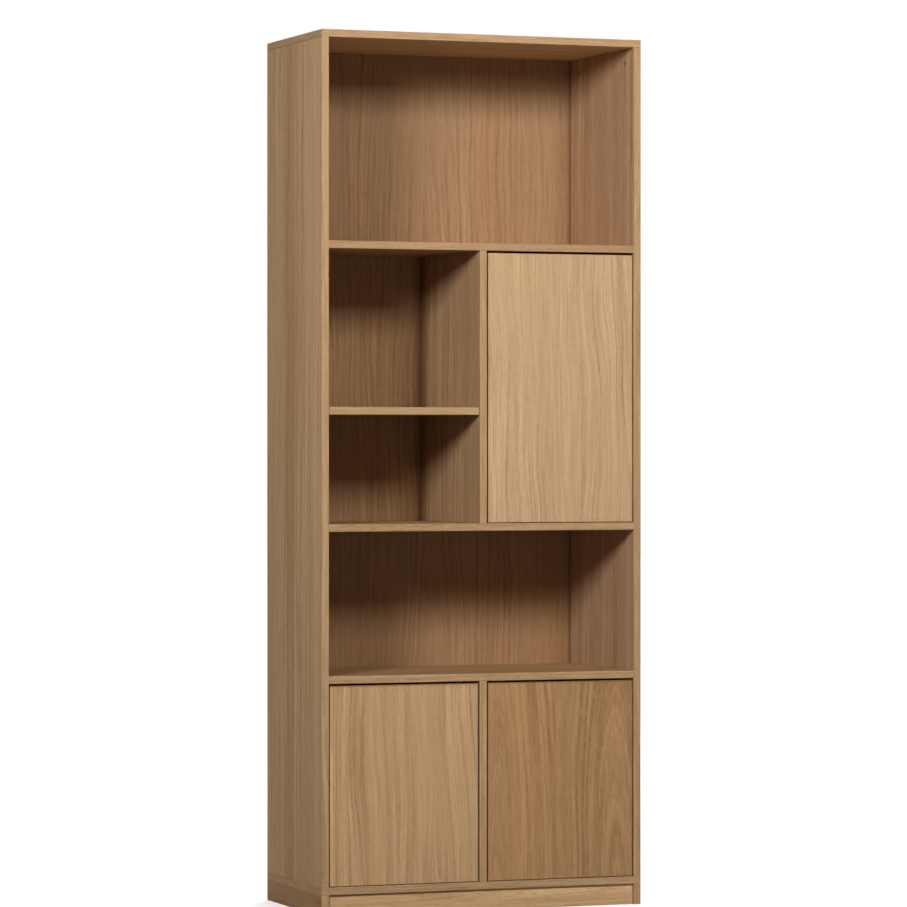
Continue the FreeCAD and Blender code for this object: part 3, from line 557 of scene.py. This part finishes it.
# Directions, and the orders of axes that lay a shape's Z along Y or along X.
RIGHT = np.array((1.0, 0.0, 0.0))
REAR = np.array((0.0, 1.0, 0.0))
UP = np.array((0.0, 0.0, 1.0))
LEFT, FRONT, DOWN = -RIGHT, -REAR, -UP
ALONG_Y = (0, 2, 1)
ALONG_X = (2, 0, 1)


def traced(corners, counts):
    """Points on the straight runs between corners, with a count for each run."""
    corners = np.asarray(corners, float)
    runs = [
        np.linspace(start, end, count, endpoint=False)
        for start, end, count in zip(corners[:-1], corners[1:], counts)
    ]
    return np.vstack(runs + [corners[-1:]])


def around(segments):
    """Even angles round a full turn."""
    return np.linspace(0.0, 2.0 * np.pi, segments, endpoint=False)


def turned(profile, segments):
    """A profile of (radius, height) turned about Z: x = r cos a, y = r sin a, z = h."""
    radius, height = np.asarray(profile, float).T
    angle = around(segments)[:, None]
    return np.stack(np.broadcast_arrays(radius * np.cos(angle), radius * np.sin(angle), height), axis=-1)


def drawn_in(points, drop):
    """Points moved towards the Z axis by a drop in radius."""
    radius = np.hypot(points[..., X], points[..., Y])
    scale = 1.0 - drop / np.maximum(radius, 2.0 * drop + 1e-9)
    return points * np.stack((scale, scale, np.ones_like(scale)), axis=-1)


def threaded(points, pitch, depth, start, end):
    """A thread: between two heights the radius drops by depth * |2 fract(z / pitch - a / turn) - 1|."""
    turn = np.arctan2(points[..., Y], points[..., X]) / (2.0 * np.pi)
    wave = np.abs(2.0 * ((points[..., Z] / pitch - turn) % 1.0) - 1.0)
    inside = (points[..., Z] > start) & (points[..., Z] < end)
    return drawn_in(points, np.where(inside, depth * wave, 0.0))


def fluted(points, count, depth):
    """Grooves along the axis: the radius drops by depth * (1 + cos(count * a)) / 2."""
    angle = np.arctan2(points[..., Y], points[..., X])
    return drawn_in(points, depth * (1.0 + np.cos(count * angle)) / 2.0)


def cross_cut(points, length, width, depth, below):
    """A cross recess in a head that faces -Z: below a height, points near the X or Y line move to +Z.

    They move less towards the flanks and the ends of the cross.
    """
    nearer = np.minimum(np.abs(points[..., X]), np.abs(points[..., Y]))
    reach = np.hypot(points[..., X], points[..., Y])
    flank = np.clip((width - nearer) / (0.5 * width), 0.0, 1.0)
    end = np.clip((length / 2.0 - reach) / (0.5 * width), 0.0, 1.0)
    sunk = np.where(points[..., Z] < below, depth * flank * end, 0.0)
    return points + sunk[..., None] * UP


def ellipse(power, segments=48):
    """A rounded square of half size 1: x = sign(cos a) |cos a|^(2 / n), y the same with sin a."""
    angle = around(segments)
    loop = np.stack((np.cos(angle), np.sin(angle)), axis=-1)
    return np.sign(loop) * np.abs(loop) ** (2.0 / power)


def stacked(loops):
    """Closed loops joined one after another into a skin."""
    return np.stack(loops, axis=1)


def level_loop(outline, half, height, centre=(0.0, 0.0)):
    """An outline stretched to half sizes and set at a height."""
    flat = outline * np.asarray(half) + np.asarray(centre)
    return np.column_stack((flat, np.full(len(flat), height)))


def slab(half, power, low, high, edge, centre=(0.0, 0.0)):
    """A plate of rounded outline between two heights: its loops draw in by a quarter round at each face."""
    outline = ellipse(power)
    half = np.asarray(half, float)
    quarter = np.linspace(0.0, np.pi / 2.0, 4)
    inset = edge * (1.0 - np.sin(quarter))
    rise = edge * (1.0 - np.cos(quarter))
    loops = [level_loop(outline, half * 0.0, low, centre)]
    edges = list(zip(inset, rise))
    loops += [level_loop(outline, half - back, low + up, centre) for back, up in edges]
    loops += [level_loop(outline, half - back, high - up, centre) for back, up in edges[::-1]]
    return stacked(loops + [level_loop(outline, half * 0.0, high, centre)])


def swept(path, half, power):
    """A bar along a path in the XY plane: path + normal * thickness + Z * width, closed at both ends."""
    tangent = np.gradient(path, axis=0)
    tangent = tangent / np.linalg.norm(tangent, axis=1, keepdims=True)
    normal = np.column_stack((-tangent[:, Y], tangent[:, X], np.zeros(len(path))))
    spine = np.column_stack((path, np.zeros(len(path))))
    loop = ellipse(power, segments=28) * np.asarray(half)
    skin = spine + loop[:, :1, None] * normal + loop[:, 1:, None] * UP
    caps = [np.broadcast_to(spine[end], (len(loop), 1, 3)) for end in (0, -1)]
    return np.concatenate((caps[0], skin, caps[1]), axis=1)


def poised(shells, spots):
    """Copies of a shape: at each spot local +Z goes to its first direction and local +X to its second."""
    copies = []
    for origin, into, side in spots:
        turn = np.stack((side, np.cross(into, side), into))
        copies += [shell @ turn + np.asarray(origin) for shell in shells]
    return copies


def upright(origin, into):
    """A spot for a shape that is alike all round."""
    return origin, into, RIGHT if abs(into[X]) < 0.5 else UP


def mesh_of(name, shells):
    """One mesh of skins whose rows close on themselves, with seams and poles merged."""
    points, faces, start = [], [], 0
    for shell in shells:
        rows, columns = shell.shape[:2]
        index = start + np.arange(rows * columns).reshape(rows, columns)
        after = np.roll(index, -1, axis=0)
        quads = (index[:, :-1], index[:, 1:], after[:, 1:], after[:, :-1])
        faces.append(np.stack(quads, axis=-1).reshape(-1, 4))
        points.append(shell.reshape(-1, 3) * MM)
        start += rows * columns
    mesh = bpy.data.meshes.new(name)
    mesh.from_pydata(np.vstack(points).tolist(), [], np.vstack(faces).tolist())
    work = bmesh.new()
    work.from_mesh(mesh)
    bmesh.ops.remove_doubles(work, verts=work.verts, dist=MERGE)
    bmesh.ops.recalc_face_normals(work, faces=work.faces)
    work.to_mesh(mesh)
    work.free()
    mesh.polygons.foreach_set("use_smooth", np.ones(len(mesh.polygons), bool))
    mesh.set_sharp_from_angle(angle=SHARP)
    return mesh


BODIES = frame["record"]["behaviour"]["bodies"]
BODY_OF = {node: body for body, members in BODIES.items() for node in members}


def fit_piece(work, node, material, shells):
    """A finished piece in the place of a CAD node, on the node's body."""
    name = work + "_" + node
    mesh = mesh_of(name, shells)
    mesh.materials.append(material)
    piece = bpy.data.objects.new(name, mesh)
    bpy.context.scene.collection.objects.link(piece)
    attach(piece, BODY_OF[node])
    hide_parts(node)


def ease_edges(node, width):
    """Break a CAD node's sharp edges with a small round."""
    weld = nodes[node].modifiers.new("weld", "WELD")
    weld.merge_threshold = MERGE
    bevel = nodes[node].modifiers.new("eased_edges", "BEVEL")
    bevel.width = width * MM
    bevel.segments = 2
    bevel.limit_method = "ANGLE"
    bevel.angle_limit = SHARP


# Outlines of turned pieces are (radius, height) in millimetres, with the count of points on each run.
SCREW_HEAD = ((0.0, -1.80), (2.3, -1.70), (2.75, -1.48), (3.0, -1.10), (3.1, -0.6), (3.1, 0.0), (1.6, 0.0))
SCREW_STEPS = (11, 2, 2, 2, 2, 2)
SCREW_POINT = ((1.6, 10.2), (0.0, 13.0))
POINT_STEPS = (32, 5)
SCREW_SEGMENTS = 28
CROSS = dict(length=4.4, width=0.5, depth=0.9, below=-1.4)


def screw():
    """Pan-head screw on its seat at z = 0: a crowned head with a cross recess, and a pointed thread."""
    profile = traced(SCREW_HEAD + SCREW_POINT, SCREW_STEPS + POINT_STEPS)
    points = threaded(turned(profile, SCREW_SEGMENTS), pitch=1.9, depth=0.45, start=0.9, end=12.6)
    return [cross_cut(points, **CROSS)]


def screw_head():
    """Only the head of a screw."""
    profile = traced(SCREW_HEAD[:-1] + ((0.0, 0.0),), SCREW_STEPS)
    return [cross_cut(turned(profile, SCREW_SEGMENTS), **CROSS)]


def dowel():
    """Fluted dowel with chamfered ends."""
    corners = ((0.0, -11.0), (3.2, -11.0), (4.0, -10.2), (4.0, 18.2), (3.2, 19.0), (0.0, 19.0))
    return [fluted(turned(traced(corners, (1, 1, 6, 1, 1)), segments=56), count=14, depth=0.28)]


def cam_bolt():
    """Bolt of a cam fitting: pointed thread, collar, shank, neck and round head."""
    corners = (
        (0.0, -11.0), (1.5, -10.7), (2.5, -9.4), (2.5, 0.0), (3.1, 0.0), (3.5, 0.4), (3.5, 3.6), (3.1, 4.0),
        (2.5, 4.0), (2.5, 28.5), (2.0, 29.5), (2.0, 31.5), (3.1, 31.5), (3.5, 32.0), (3.5, 35.0),
        (2.9, 36.1), (1.8, 36.5), (0.0, 36.5),
    )
    profile = traced(corners, (1, 3, 30, 1, 1, 1, 1, 1, 2, 1, 1, 1, 1, 1, 1, 1, 1))
    return [threaded(turned(profile, segments=24), pitch=2.0, depth=0.55, start=-10.8, end=-0.4)]


def shelf_pin():
    """Pin for a loose shelf: a rod with rounded ends and a collar against the board."""
    corners = (
        (0.0, -9.0), (1.8, -9.0), (2.3, -8.8), (2.5, -8.3), (2.5, -1.0), (3.2, -1.0), (3.5, -0.8),
        (3.5, -0.2), (3.3, 0.0), (2.5, 0.0), (2.5, 8.4), (2.0, 9.0), (0.0, 9.0),
    )
    return [turned(corners, segments=32)]


def hinge_pin():
    """Pin through a hinge's lugs and arm."""
    corners = ((0.0, -8.4), (0.8, -8.4), (1.25, -8.0), (1.25, 8.0), (0.8, 8.4), (0.0, 8.4))
    return [turned(corners, segments=24)]


CUP_SEAT = 9.5
CUP_WALL = 17.0
CUP_LIP = 18.0
LIP_THICKNESS = 0.3
EAR_HALF = (9.5, 31.0)
EAR_THICKNESS = 1.2
EAR_START = 18.4
EAR_RUN = 3.0
LUG_FLOORS = (-8.4, 5.4)


def hinge_cup():
    """Pressed cup about a vertical pivot: a bowl with a thin lip, two screw ears and two pivot lugs.

    The ears are the part of a rounded plate outside the bowl. Their outline is the larger of the lip's
    radius and the plate's, at each angle, and they thicken away from the bowl.
    """
    corners = (
        (0.0, -2.9), (15.4, -2.9), (16.1, -2.6), (16.4, -1.9), (16.4, 9.5), (16.7, 9.85), (17.0, 9.9),
        (18.0, 9.9), (18.2, 9.7), (18.2, 9.5), (17.4, 9.5), (17.4, -2.8), (16.8, -3.5), (0.0, -3.5),
    )
    profile = traced(corners, (4, 1, 1, 3, 1, 1, 1, 1, 1, 1, 3, 1, 4))
    bowl = turned(profile, segments=56)[..., ALONG_Y]
    angle = around(72)
    ray = np.stack((np.cos(angle), np.sin(angle)), axis=-1)
    plate = (np.abs(ray[:, 0] / EAR_HALF[0]) ** 4 + np.abs(ray[:, 1] / EAR_HALF[1]) ** 4) ** -0.25
    rim = np.maximum(plate, CUP_LIP)
    wall = np.full_like(rim, CUP_WALL)
    grown = np.clip((rim - EAR_START) / EAR_RUN, 0.0, 1.0)
    lift = LIP_THICKNESS + (EAR_THICKNESS - LIP_THICKNESS) * grown
    outline = (
        (wall, 0.0), (wall, 1.0), (rim - 0.5, 1.0), (rim - 0.12, 0.75), (rim, 0.4), (rim, 0.0), (wall, 0.0),
    )
    loops = [
        np.column_stack((radius * ray[:, 0], CUP_SEAT + height * lift, radius * ray[:, 1]))
        for radius, height in outline
    ]
    lugs = [
        slab((2.5, 2.85), power=3.0, low=low, high=low + 3.0, edge=0.3, centre=(0.0, -0.35))
        for low in LUG_FLOORS
    ]
    return [bowl, stacked(loops)] + lugs


ARM_ANGLE = math.radians(37.27)
ARM_RADIUS = 25.86
ARM_FOOT = 24.66
ARM_CORNER = 4.0
ARM_LENGTH = 46.0
ARM_SCREWS = (13.0, 35.0)


def hinge_arm():
    """Pressed arm: an eye on the pivot, a blade out of the cup, a bend round the door's edge, and a body.

    The blade follows a ray from the pivot, a rounded corner, an arc about the pivot and a straight run.
    """
    ease = ARM_CORNER / ARM_RADIUS
    ray = np.array((math.cos(ARM_ANGLE), math.sin(ARM_ANGLE)))
    after = ARM_RADIUS * np.array((math.cos(ARM_ANGLE + ease), math.sin(ARM_ANGLE + ease)))
    share = np.linspace(0.0, 1.0, 8)[:, None]
    before = ray * (ARM_RADIUS - ARM_CORNER)
    corner = (1 - share) ** 2 * before + 2 * share * (1 - share) * ray * ARM_RADIUS + share ** 2 * after
    bend = np.linspace(ARM_ANGLE + ease, np.pi / 2.0, 16)[1:]
    arc = ARM_RADIUS * np.column_stack((np.cos(bend), np.sin(bend)))
    start = np.linspace((0.0, 0.0), before, 6)[:-1]
    run = ((-6.0, ARM_RADIUS), (-12.0, ARM_RADIUS))
    blade = swept(np.vstack((start, corner, arc, run)), half=(1.2, 5.0), power=8.0)
    eye_corners = ((0.0, -5.0), (2.2, -5.0), (2.5, -4.7), (2.5, 4.7), (2.2, 5.0), (0.0, 5.0))
    eye = turned(eye_corners, segments=28)
    end = ARM_FOOT + ARM_LENGTH
    body = slab((4.5, 8.0), power=5.0, low=ARM_FOOT, high=end, edge=1.6, centre=(-13.5, 0.0))
    screw_spots = [((-9.4, ARM_FOOT + reach, 0.0), LEFT, UP) for reach in ARM_SCREWS]
    return [eye, blade, body[..., ALONG_Y]] + poised(screw_head(), screw_spots)


PLATE_FACE = -24.0
WING_REACH = 16.0


def hinge_plate():
    """Mounting plate: a rail under the arm's body, and a cross wing for its two screws."""
    rail_half, wing_half = (24.5, 7.0), (8.0, 23.0)
    rail_spot, wing_spot = (ARM_FOOT + 24.5, 0.0), (ARM_FOOT + WING_REACH, 0.0)
    rail = slab(rail_half, power=8.0, low=PLATE_FACE, high=-18.0, edge=0.8, centre=rail_spot)
    wing = slab(wing_half, power=3.5, low=PLATE_FACE, high=-21.5, edge=0.7, centre=wing_spot)
    return [rail[..., ALONG_X], wing[..., ALONG_X]]


LATCH_BORE = ((0.0, 55.8), (3.6, 55.8), (3.6, 3.7), (4.1, 3.0))
LATCH_BLOCK = ((0.8, 3.0), (0.25, 3.2), (0.0, 3.8), (0.0, 59.0), (0.25, 59.6), (0.8, 59.8))
LATCH_HALF = (7.0, 10.5)
LATCH_MIDDLE = (0.0, 3.5)
LATCH_END = 59.8
LATCH_EARS = 18.0


def latch_housing():
    """Moulded housing: a block whose front opens into the plunger's bore, and a base with two screw ears.

    Its loops go from the bore's floor to its mouth, over the front face, along the block and to the rear.
    """
    circle, block = ellipse(2.0), ellipse(9.0)
    loops = [level_loop(circle, (radius, radius), depth) for radius, depth in LATCH_BORE]
    loops += [
        level_loop(block, np.subtract(LATCH_HALF, inset), depth, LATCH_MIDDLE)
        for inset, depth in LATCH_BLOCK
    ]
    loops.append(level_loop(block, (0.0, 0.0), LATCH_END, LATCH_MIDDLE))
    base = slab((19.0, 15.0), power=4.0, low=11.0, high=14.0, edge=0.7, centre=(0.0, LATCH_EARS))
    return [stacked(loops)[..., ALONG_Y], base]


def latch_plunger():
    """Plunger with a domed head, from its tip along the bore."""
    corners = (
        (0.0, 0.0), (2.8, 0.05), (4.2, 0.35), (4.8, 0.9), (5.0, 1.5), (5.0, 2.3), (4.7, 2.6), (3.5, 2.6),
        (3.5, 39.2), (3.1, 39.6), (0.0, 39.6),
    )
    return [turned(corners, segments=36)[..., ALONG_Y]]


SPRING_TURNS = 6
SPRING_STEPS = 30
SPRING_LENGTH = 15.0
SPRING_RADIUS = 2.6
SPRING_CLOSING = 0.55
WIRE_RADIUS = 0.4


def latch_spring():
    """Compression spring: a wire along the helix (r cos a, y, r sin a), whose pitch closes at both ends."""
    share = np.linspace(0.0, 1.0, SPRING_TURNS * SPRING_STEPS + 1)
    round_once = 2.0 * np.pi * share
    angle = SPRING_TURNS * round_once
    height = SPRING_LENGTH * (share - SPRING_CLOSING * np.sin(round_once) / (2.0 * np.pi))
    outward = np.column_stack((np.cos(angle), np.zeros_like(angle), np.sin(angle)))
    spine = SPRING_RADIUS * outward + height[:, None] * REAR
    wire = around(10)[:, None, None]
    skin = spine + WIRE_RADIUS * (np.cos(wire) * outward + np.sin(wire) * REAR)
    caps = [np.broadcast_to(spine[end], (len(wire), 1, 3)) for end in (0, -1)]
    return [np.concatenate((caps[0], skin, caps[1]), axis=1)]


def strike_plate():
    """Thin plate with rounded corners, on the door opposite the plunger."""
    return [slab((17.0, 7.5), power=7.0, low=-1.5, high=-0.3, edge=0.35)[..., ALONG_Y]]


# Where the fittings lie, in millimetres. A corner joint is its x, its z and the way its bolt points.
FITTING_DEPTHS = (-149.0, 142.0)
DOWEL_DEPTHS = (-107.0, 100.0)
CORNER_JOINTS = [
    (-SIDE_MIDDLE, TOP_FACE, DOWN),
    (SIDE_MIDDLE, TOP_FACE, DOWN),
    (-SIDE_MIDDLE, BOTTOM_FACE, UP),
    (SIDE_MIDDLE, BOTTOM_FACE, UP),
    (0.0, UPPER_SHELF - BOARD_HALF, DOWN),
    (0.0, MIDDLE_SHELF + BOARD_HALF, UP),
    (0.0, LOWER_SHELF - BOARD_HALF, DOWN),
    (0.0, BOTTOM_FACE, UP),
]
for shelf in (UPPER_SHELF, MIDDLE_SHELF, LOWER_SHELF):
    CORNER_JOINTS += [(-SIDE_FACE, shelf, RIGHT), (SIDE_FACE, shelf, LEFT)]
RAIL_DEPTHS = (-188.0, 188.0)
RAIL_DOWELS = 242.0
PLINTH_DOWELS = 55.0
BACK_ROWS = ((1595.5, 2087.0), (923.5, 1586.5), (63.0, 914.5))
BACK_SEAT = 202.0
BACK_SIDE_SCREWS = 397.0
BACK_END_SCREWS = 332.0
BACK_SCREW_INSET = 60.0
BRACKETS = 250.0
BRACKET_SEAT = 2102.0
BRACKET_DEPTHS = (192.0, 177.0)
PIN_HEIGHT = 1185.5
PIN_DEPTHS = (-140.0, 161.0)
PIN_WALLS = ((-SIDE_FACE, LEFT), (-BOARD_HALF, RIGHT))

# Each door's hinge side, lower edge and upper edge, and the fittings on all of them.
DOORS = {
    "upper": (1, 929.5, 1577.0),
    "lower_left": (-1, 69.5, 545.0),
    "lower_right": (1, 69.5, 545.0),
}
DOOR_TOP_GAP = 5.0
HINGE_INSET = 90.0
PIVOT = (368.0, -191.5)
EAR_SEAT = -180.8
EAR_SCREWS = 23.0
WING_SEAT = 389.5
WING_SCREWS = 16.0
LATCH_X = 54.0
LATCH_TIP = -180.5
LATCH_DROP = 14.0
LATCH_COIL = 40.2
LATCH_SCREWS = 13.0
LATCH_SCREW_DROP = 3.0
STRIKE_SCREWS = 11.0


def both(offset):
    """An offset to both sides."""
    return -offset, offset


bolt_spots = [upright((x, y, z), into) for x, z, into in CORNER_JOINTS for y in FITTING_DEPTHS]
dowel_spots = [upright((x, y, z), into) for x, z, into in CORNER_JOINTS for y in DOWEL_DEPTHS]
dowel_spots += [upright((x, y, PLINTH_TOP), DOWN) for x in both(SIDE_MIDDLE) for y in both(PLINTH_DOWELS)]
dowel_spots += [
    upright((x, y, PLINTH_MIDDLE), LEFT if x > 0.0 else RIGHT)
    for x in both(SIDE_FACE) for y in RAIL_DEPTHS
]
dowel_spots += [upright((x, y, PLINTH_TOP), DOWN) for x in both(RAIL_DOWELS) for y in RAIL_DEPTHS]
back_spots = []
for floor, ceiling in BACK_ROWS:
    ends = (floor, ceiling)
    heights = (floor + BACK_SCREW_INSET, ceiling - BACK_SCREW_INSET)
    back_spots += [upright((x, BACK_SEAT, z), FRONT) for x in both(BACK_SIDE_SCREWS) for z in heights]
    back_spots += [upright((x, BACK_SEAT, z), FRONT) for x in both(BACK_END_SCREWS) for z in ends]
bracket_spots = [upright((x, y, BRACKET_SEAT), DOWN) for x in both(BRACKETS) for y in BRACKET_DEPTHS]
pin_spots = [upright((x, y, PIN_HEIGHT), into) for x, into in PIN_WALLS for y in PIN_DEPTHS]
plate_screw_spots = []
latch_screw_spots = []

for door, (sign, bottom, top) in DOORS.items():
    ceiling = top + DOOR_TOP_GAP
    heights = (bottom + HINGE_INSET, top - HINGE_INSET)
    hinge_x, latch_x, latch_z = sign * PIVOT[0], sign * LATCH_X, ceiling - LATCH_DROP
    wing_y = PIVOT[1] + ARM_FOOT + WING_REACH
    pivots = [((hinge_x, PIVOT[1], height), -sign * UP, -sign * RIGHT) for height in heights]
    tip = [((latch_x, LATCH_TIP, latch_z), UP, RIGHT)]
    coil = [((latch_x, LATCH_TIP + LATCH_COIL, latch_z), UP, RIGHT)]
    door_screws = [
        upright((hinge_x, EAR_SEAT, height + up), FRONT)
        for height in heights for up in both(EAR_SCREWS)
    ]
    door_screws += [upright((latch_x + x, EAR_SEAT, latch_z), FRONT) for x in both(STRIKE_SCREWS)]
    plate_screw_spots += [
        upright((sign * WING_SEAT, wing_y, height + up), sign * RIGHT)
        for height in heights for up in both(WING_SCREWS)
    ]
    latch_screw_spots += [
        upright((latch_x + x, LATCH_TIP + LATCH_EARS, ceiling - LATCH_SCREW_DROP), UP)
        for x in both(LATCH_SCREWS)
    ]
    fit_piece("pressed", door + "_hinge_cups", NICKEL, poised(hinge_cup(), pivots))
    fit_piece("pressed", door + "_hinge_arms", NICKEL, poised(hinge_arm(), pivots))
    fit_piece("pressed", door + "_hinge_plates", NICKEL, poised(hinge_plate(), pivots))
    fit_piece("turned", door + "_hinge_pins", WIRE, poised(hinge_pin(), pivots))
    fit_piece("threaded", door + "_door_screws", NICKEL, poised(screw(), door_screws))
    fit_piece("moulded", door + "_latch_housing", GREY, poised(latch_housing(), tip))
    fit_piece("moulded", door + "_latch_plunger", DARK, poised(latch_plunger(), tip))
    fit_piece("coiled", door + "_latch_spring", WIRE, poised(latch_spring(), coil))
    fit_piece("pressed", door + "_strike_plate", NICKEL, poised(strike_plate(), tip))

fit_piece("threaded", "cam_bolts", NICKEL, poised(cam_bolt(), bolt_spots))
fit_piece("fluted", "dowels", BEECH, poised(dowel(), dowel_spots))
fit_piece("turned", "shelf_pins", BRONZE, poised(shelf_pin(), pin_spots))
for node, spots in (
    ("back_screws", back_spots),
    ("bracket_screws", bracket_spots),
    ("hinge_plate_screws", plate_screw_spots),
    ("latch_screws", latch_screw_spots),
):
    fit_piece("threaded", node, NICKEL, poised(screw(), spots))
finish("cam_locks", TAN)
finish("wall_brackets", NICKEL)
ease_edges("cam_locks", width=0.25)
ease_edges("wall_brackets", width=0.4)

FLOOR_REACH = 30.0
FLOOR_GLOW = 0.62
FLOOR_FADE = (1.5, 5.0)
FLOOR_GREY = (0.38, 0.38, 0.38, 1.0)
FLOOR_BOUNCE = (0.2, 0.2, 0.2, 1.0)
WHITE = (1.0, 1.0, 1.0, 1.0)


def seen_directly(tree):
    """1 for rays from the camera and for those that a shiny or clear surface sends on."""
    path = tree.nodes.new("ShaderNodeLightPath")
    seen = Flow(tree, path.outputs["Is Camera Ray"])
    seen = seen.step("MAXIMUM", Flow(tree, path.outputs["Is Glossy Ray"]))
    return seen.step("MAXIMUM", Flow(tree, path.outputs["Is Transmission Ray"]))


def lay_floor():
    """A pale floor: a flat square on z = 0 that glows nearly white where seen, and keeps the shadow."""
    reach = np.array((-1.0, 1.0)) * FLOOR_REACH
    across, deep = np.meshgrid(reach, reach)
    corners = np.stack((across.ravel(), deep.ravel(), np.zeros(across.size)), axis=1)
    mesh = bpy.data.meshes.new("floor")
    mesh.from_pydata(corners.tolist(), [], [(0, 1, 3, 2)])
    floor = bpy.data.objects.new("floor", mesh)
    bpy.context.scene.collection.objects.link(floor)
    material, tree, shader = new_material("pale_floor")
    tint = blended(tree, seen_directly(tree), FLOOR_BOUNCE, FLOOR_GREY)
    tree.links.new(tint.outlet, shader.inputs["Base Color"])
    shader.inputs["Roughness"].default_value = 0.9
    shader.inputs["Emission Color"].default_value = WHITE
    coordinates = tree.nodes.new("ShaderNodeTexCoord")
    x, y, _ = parted(tree, Flow(tree, coordinates.outputs["Object"]))
    away = (x * x + y * y).step("SQRT")
    glow = seen_directly(tree) * away.rise(*FLOOR_FADE, FLOOR_GLOW, 1.0)
    tree.links.new(glow.outlet, shader.inputs["Emission Strength"])
    mesh.materials.append(material)


def light_world(ambient):
    """White where seen, and a weak even light elsewhere."""
    world = bpy.data.worlds.new("studio")
    bpy.context.scene.world = world
    world.use_nodes = True
    tree = world.node_tree
    background = tree.nodes["Background"]
    background.inputs["Color"].default_value = WHITE
    seen = seen_directly(tree)
    strength = seen * (1.0 - ambient) + ambient
    tree.links.new(strength.outlet, background.inputs["Strength"])


def soft_box(name, spot, target, width, height, watts, beam):
    """A rectangular lamp at a spot, turned to a target, with a beam as wide as an angle."""
    lamp = bpy.data.lights.new(name, "AREA")
    lamp.spread = math.radians(beam)
    lamp.shape = "RECTANGLE"
    lamp.size = width
    lamp.size_y = height
    lamp.energy = watts
    holder = bpy.data.objects.new(name, lamp)
    bpy.context.scene.collection.objects.link(holder)
    aim = Vector(target) - Vector(spot)
    holder.location = spot
    holder.rotation_euler = aim.to_track_quat("-Z", "Y").to_euler()


SENSOR = 36.0
LENS = 173.302
CAMERA_SPOT = (-3.78569, -9.96512, 1.11343)
CAMERA_TILT = math.radians(89.9019)
CAMERA_TURN = math.radians(-20.8061)
FARTHEST = 100.0


def set_camera():
    """The camera that fits the board edges: 10.7 m away, 20.8 degrees to the left, level with the middle."""
    camera = bpy.data.cameras.new("portrait")
    camera.sensor_fit = "HORIZONTAL"
    camera.sensor_width = SENSOR
    camera.lens = LENS
    camera.clip_end = FARTHEST
    holder = bpy.data.objects.new("portrait", camera)
    bpy.context.scene.collection.objects.link(holder)
    holder.location = CAMERA_SPOT
    holder.rotation_euler = (CAMERA_TILT, 0.0, CAMERA_TURN)
    bpy.context.scene.camera = holder


# Each lamp's place, what it is turned to, its width and height in metres, its watts and its beam in degrees.
LAMPS = {
    "front": ((0.5, -4.4, 3.3), (0.0, -0.2, 1.6), 1.0, 0.9, 53.0, 120.0),
    "fill": ((-1.2, -7.0, 0.9), (0.0, -0.2, 1.1), 2.5, 1.5, 14.0, 180.0),
    "left": ((-4.2, -4.4, 3.1), (0.0, -0.2, 2.0), 1.3, 1.2, 89.0, 105.0),
    "right": ((4.4, 0.2, 2.3), (0.4, 0.0, 1.1), 1.5, 1.5, 32.0, 120.0),
    "back": ((0.8, 4.4, 2.3), (0.0, 0.2, 1.0), 1.5, 1.5, 28.0, 120.0),
    "rear": ((2.4, 3.6, 6.2), (0.0, 0.2, 1.1), 2.5, 2.5, 420.0, 180.0),
}
lay_floor()
light_world(ambient=0.035)
for name, lamp in LAMPS.items():
    soft_box(name, *lamp)
set_camera()
bpy.context.scene.view_settings.view_transform = "Standard"
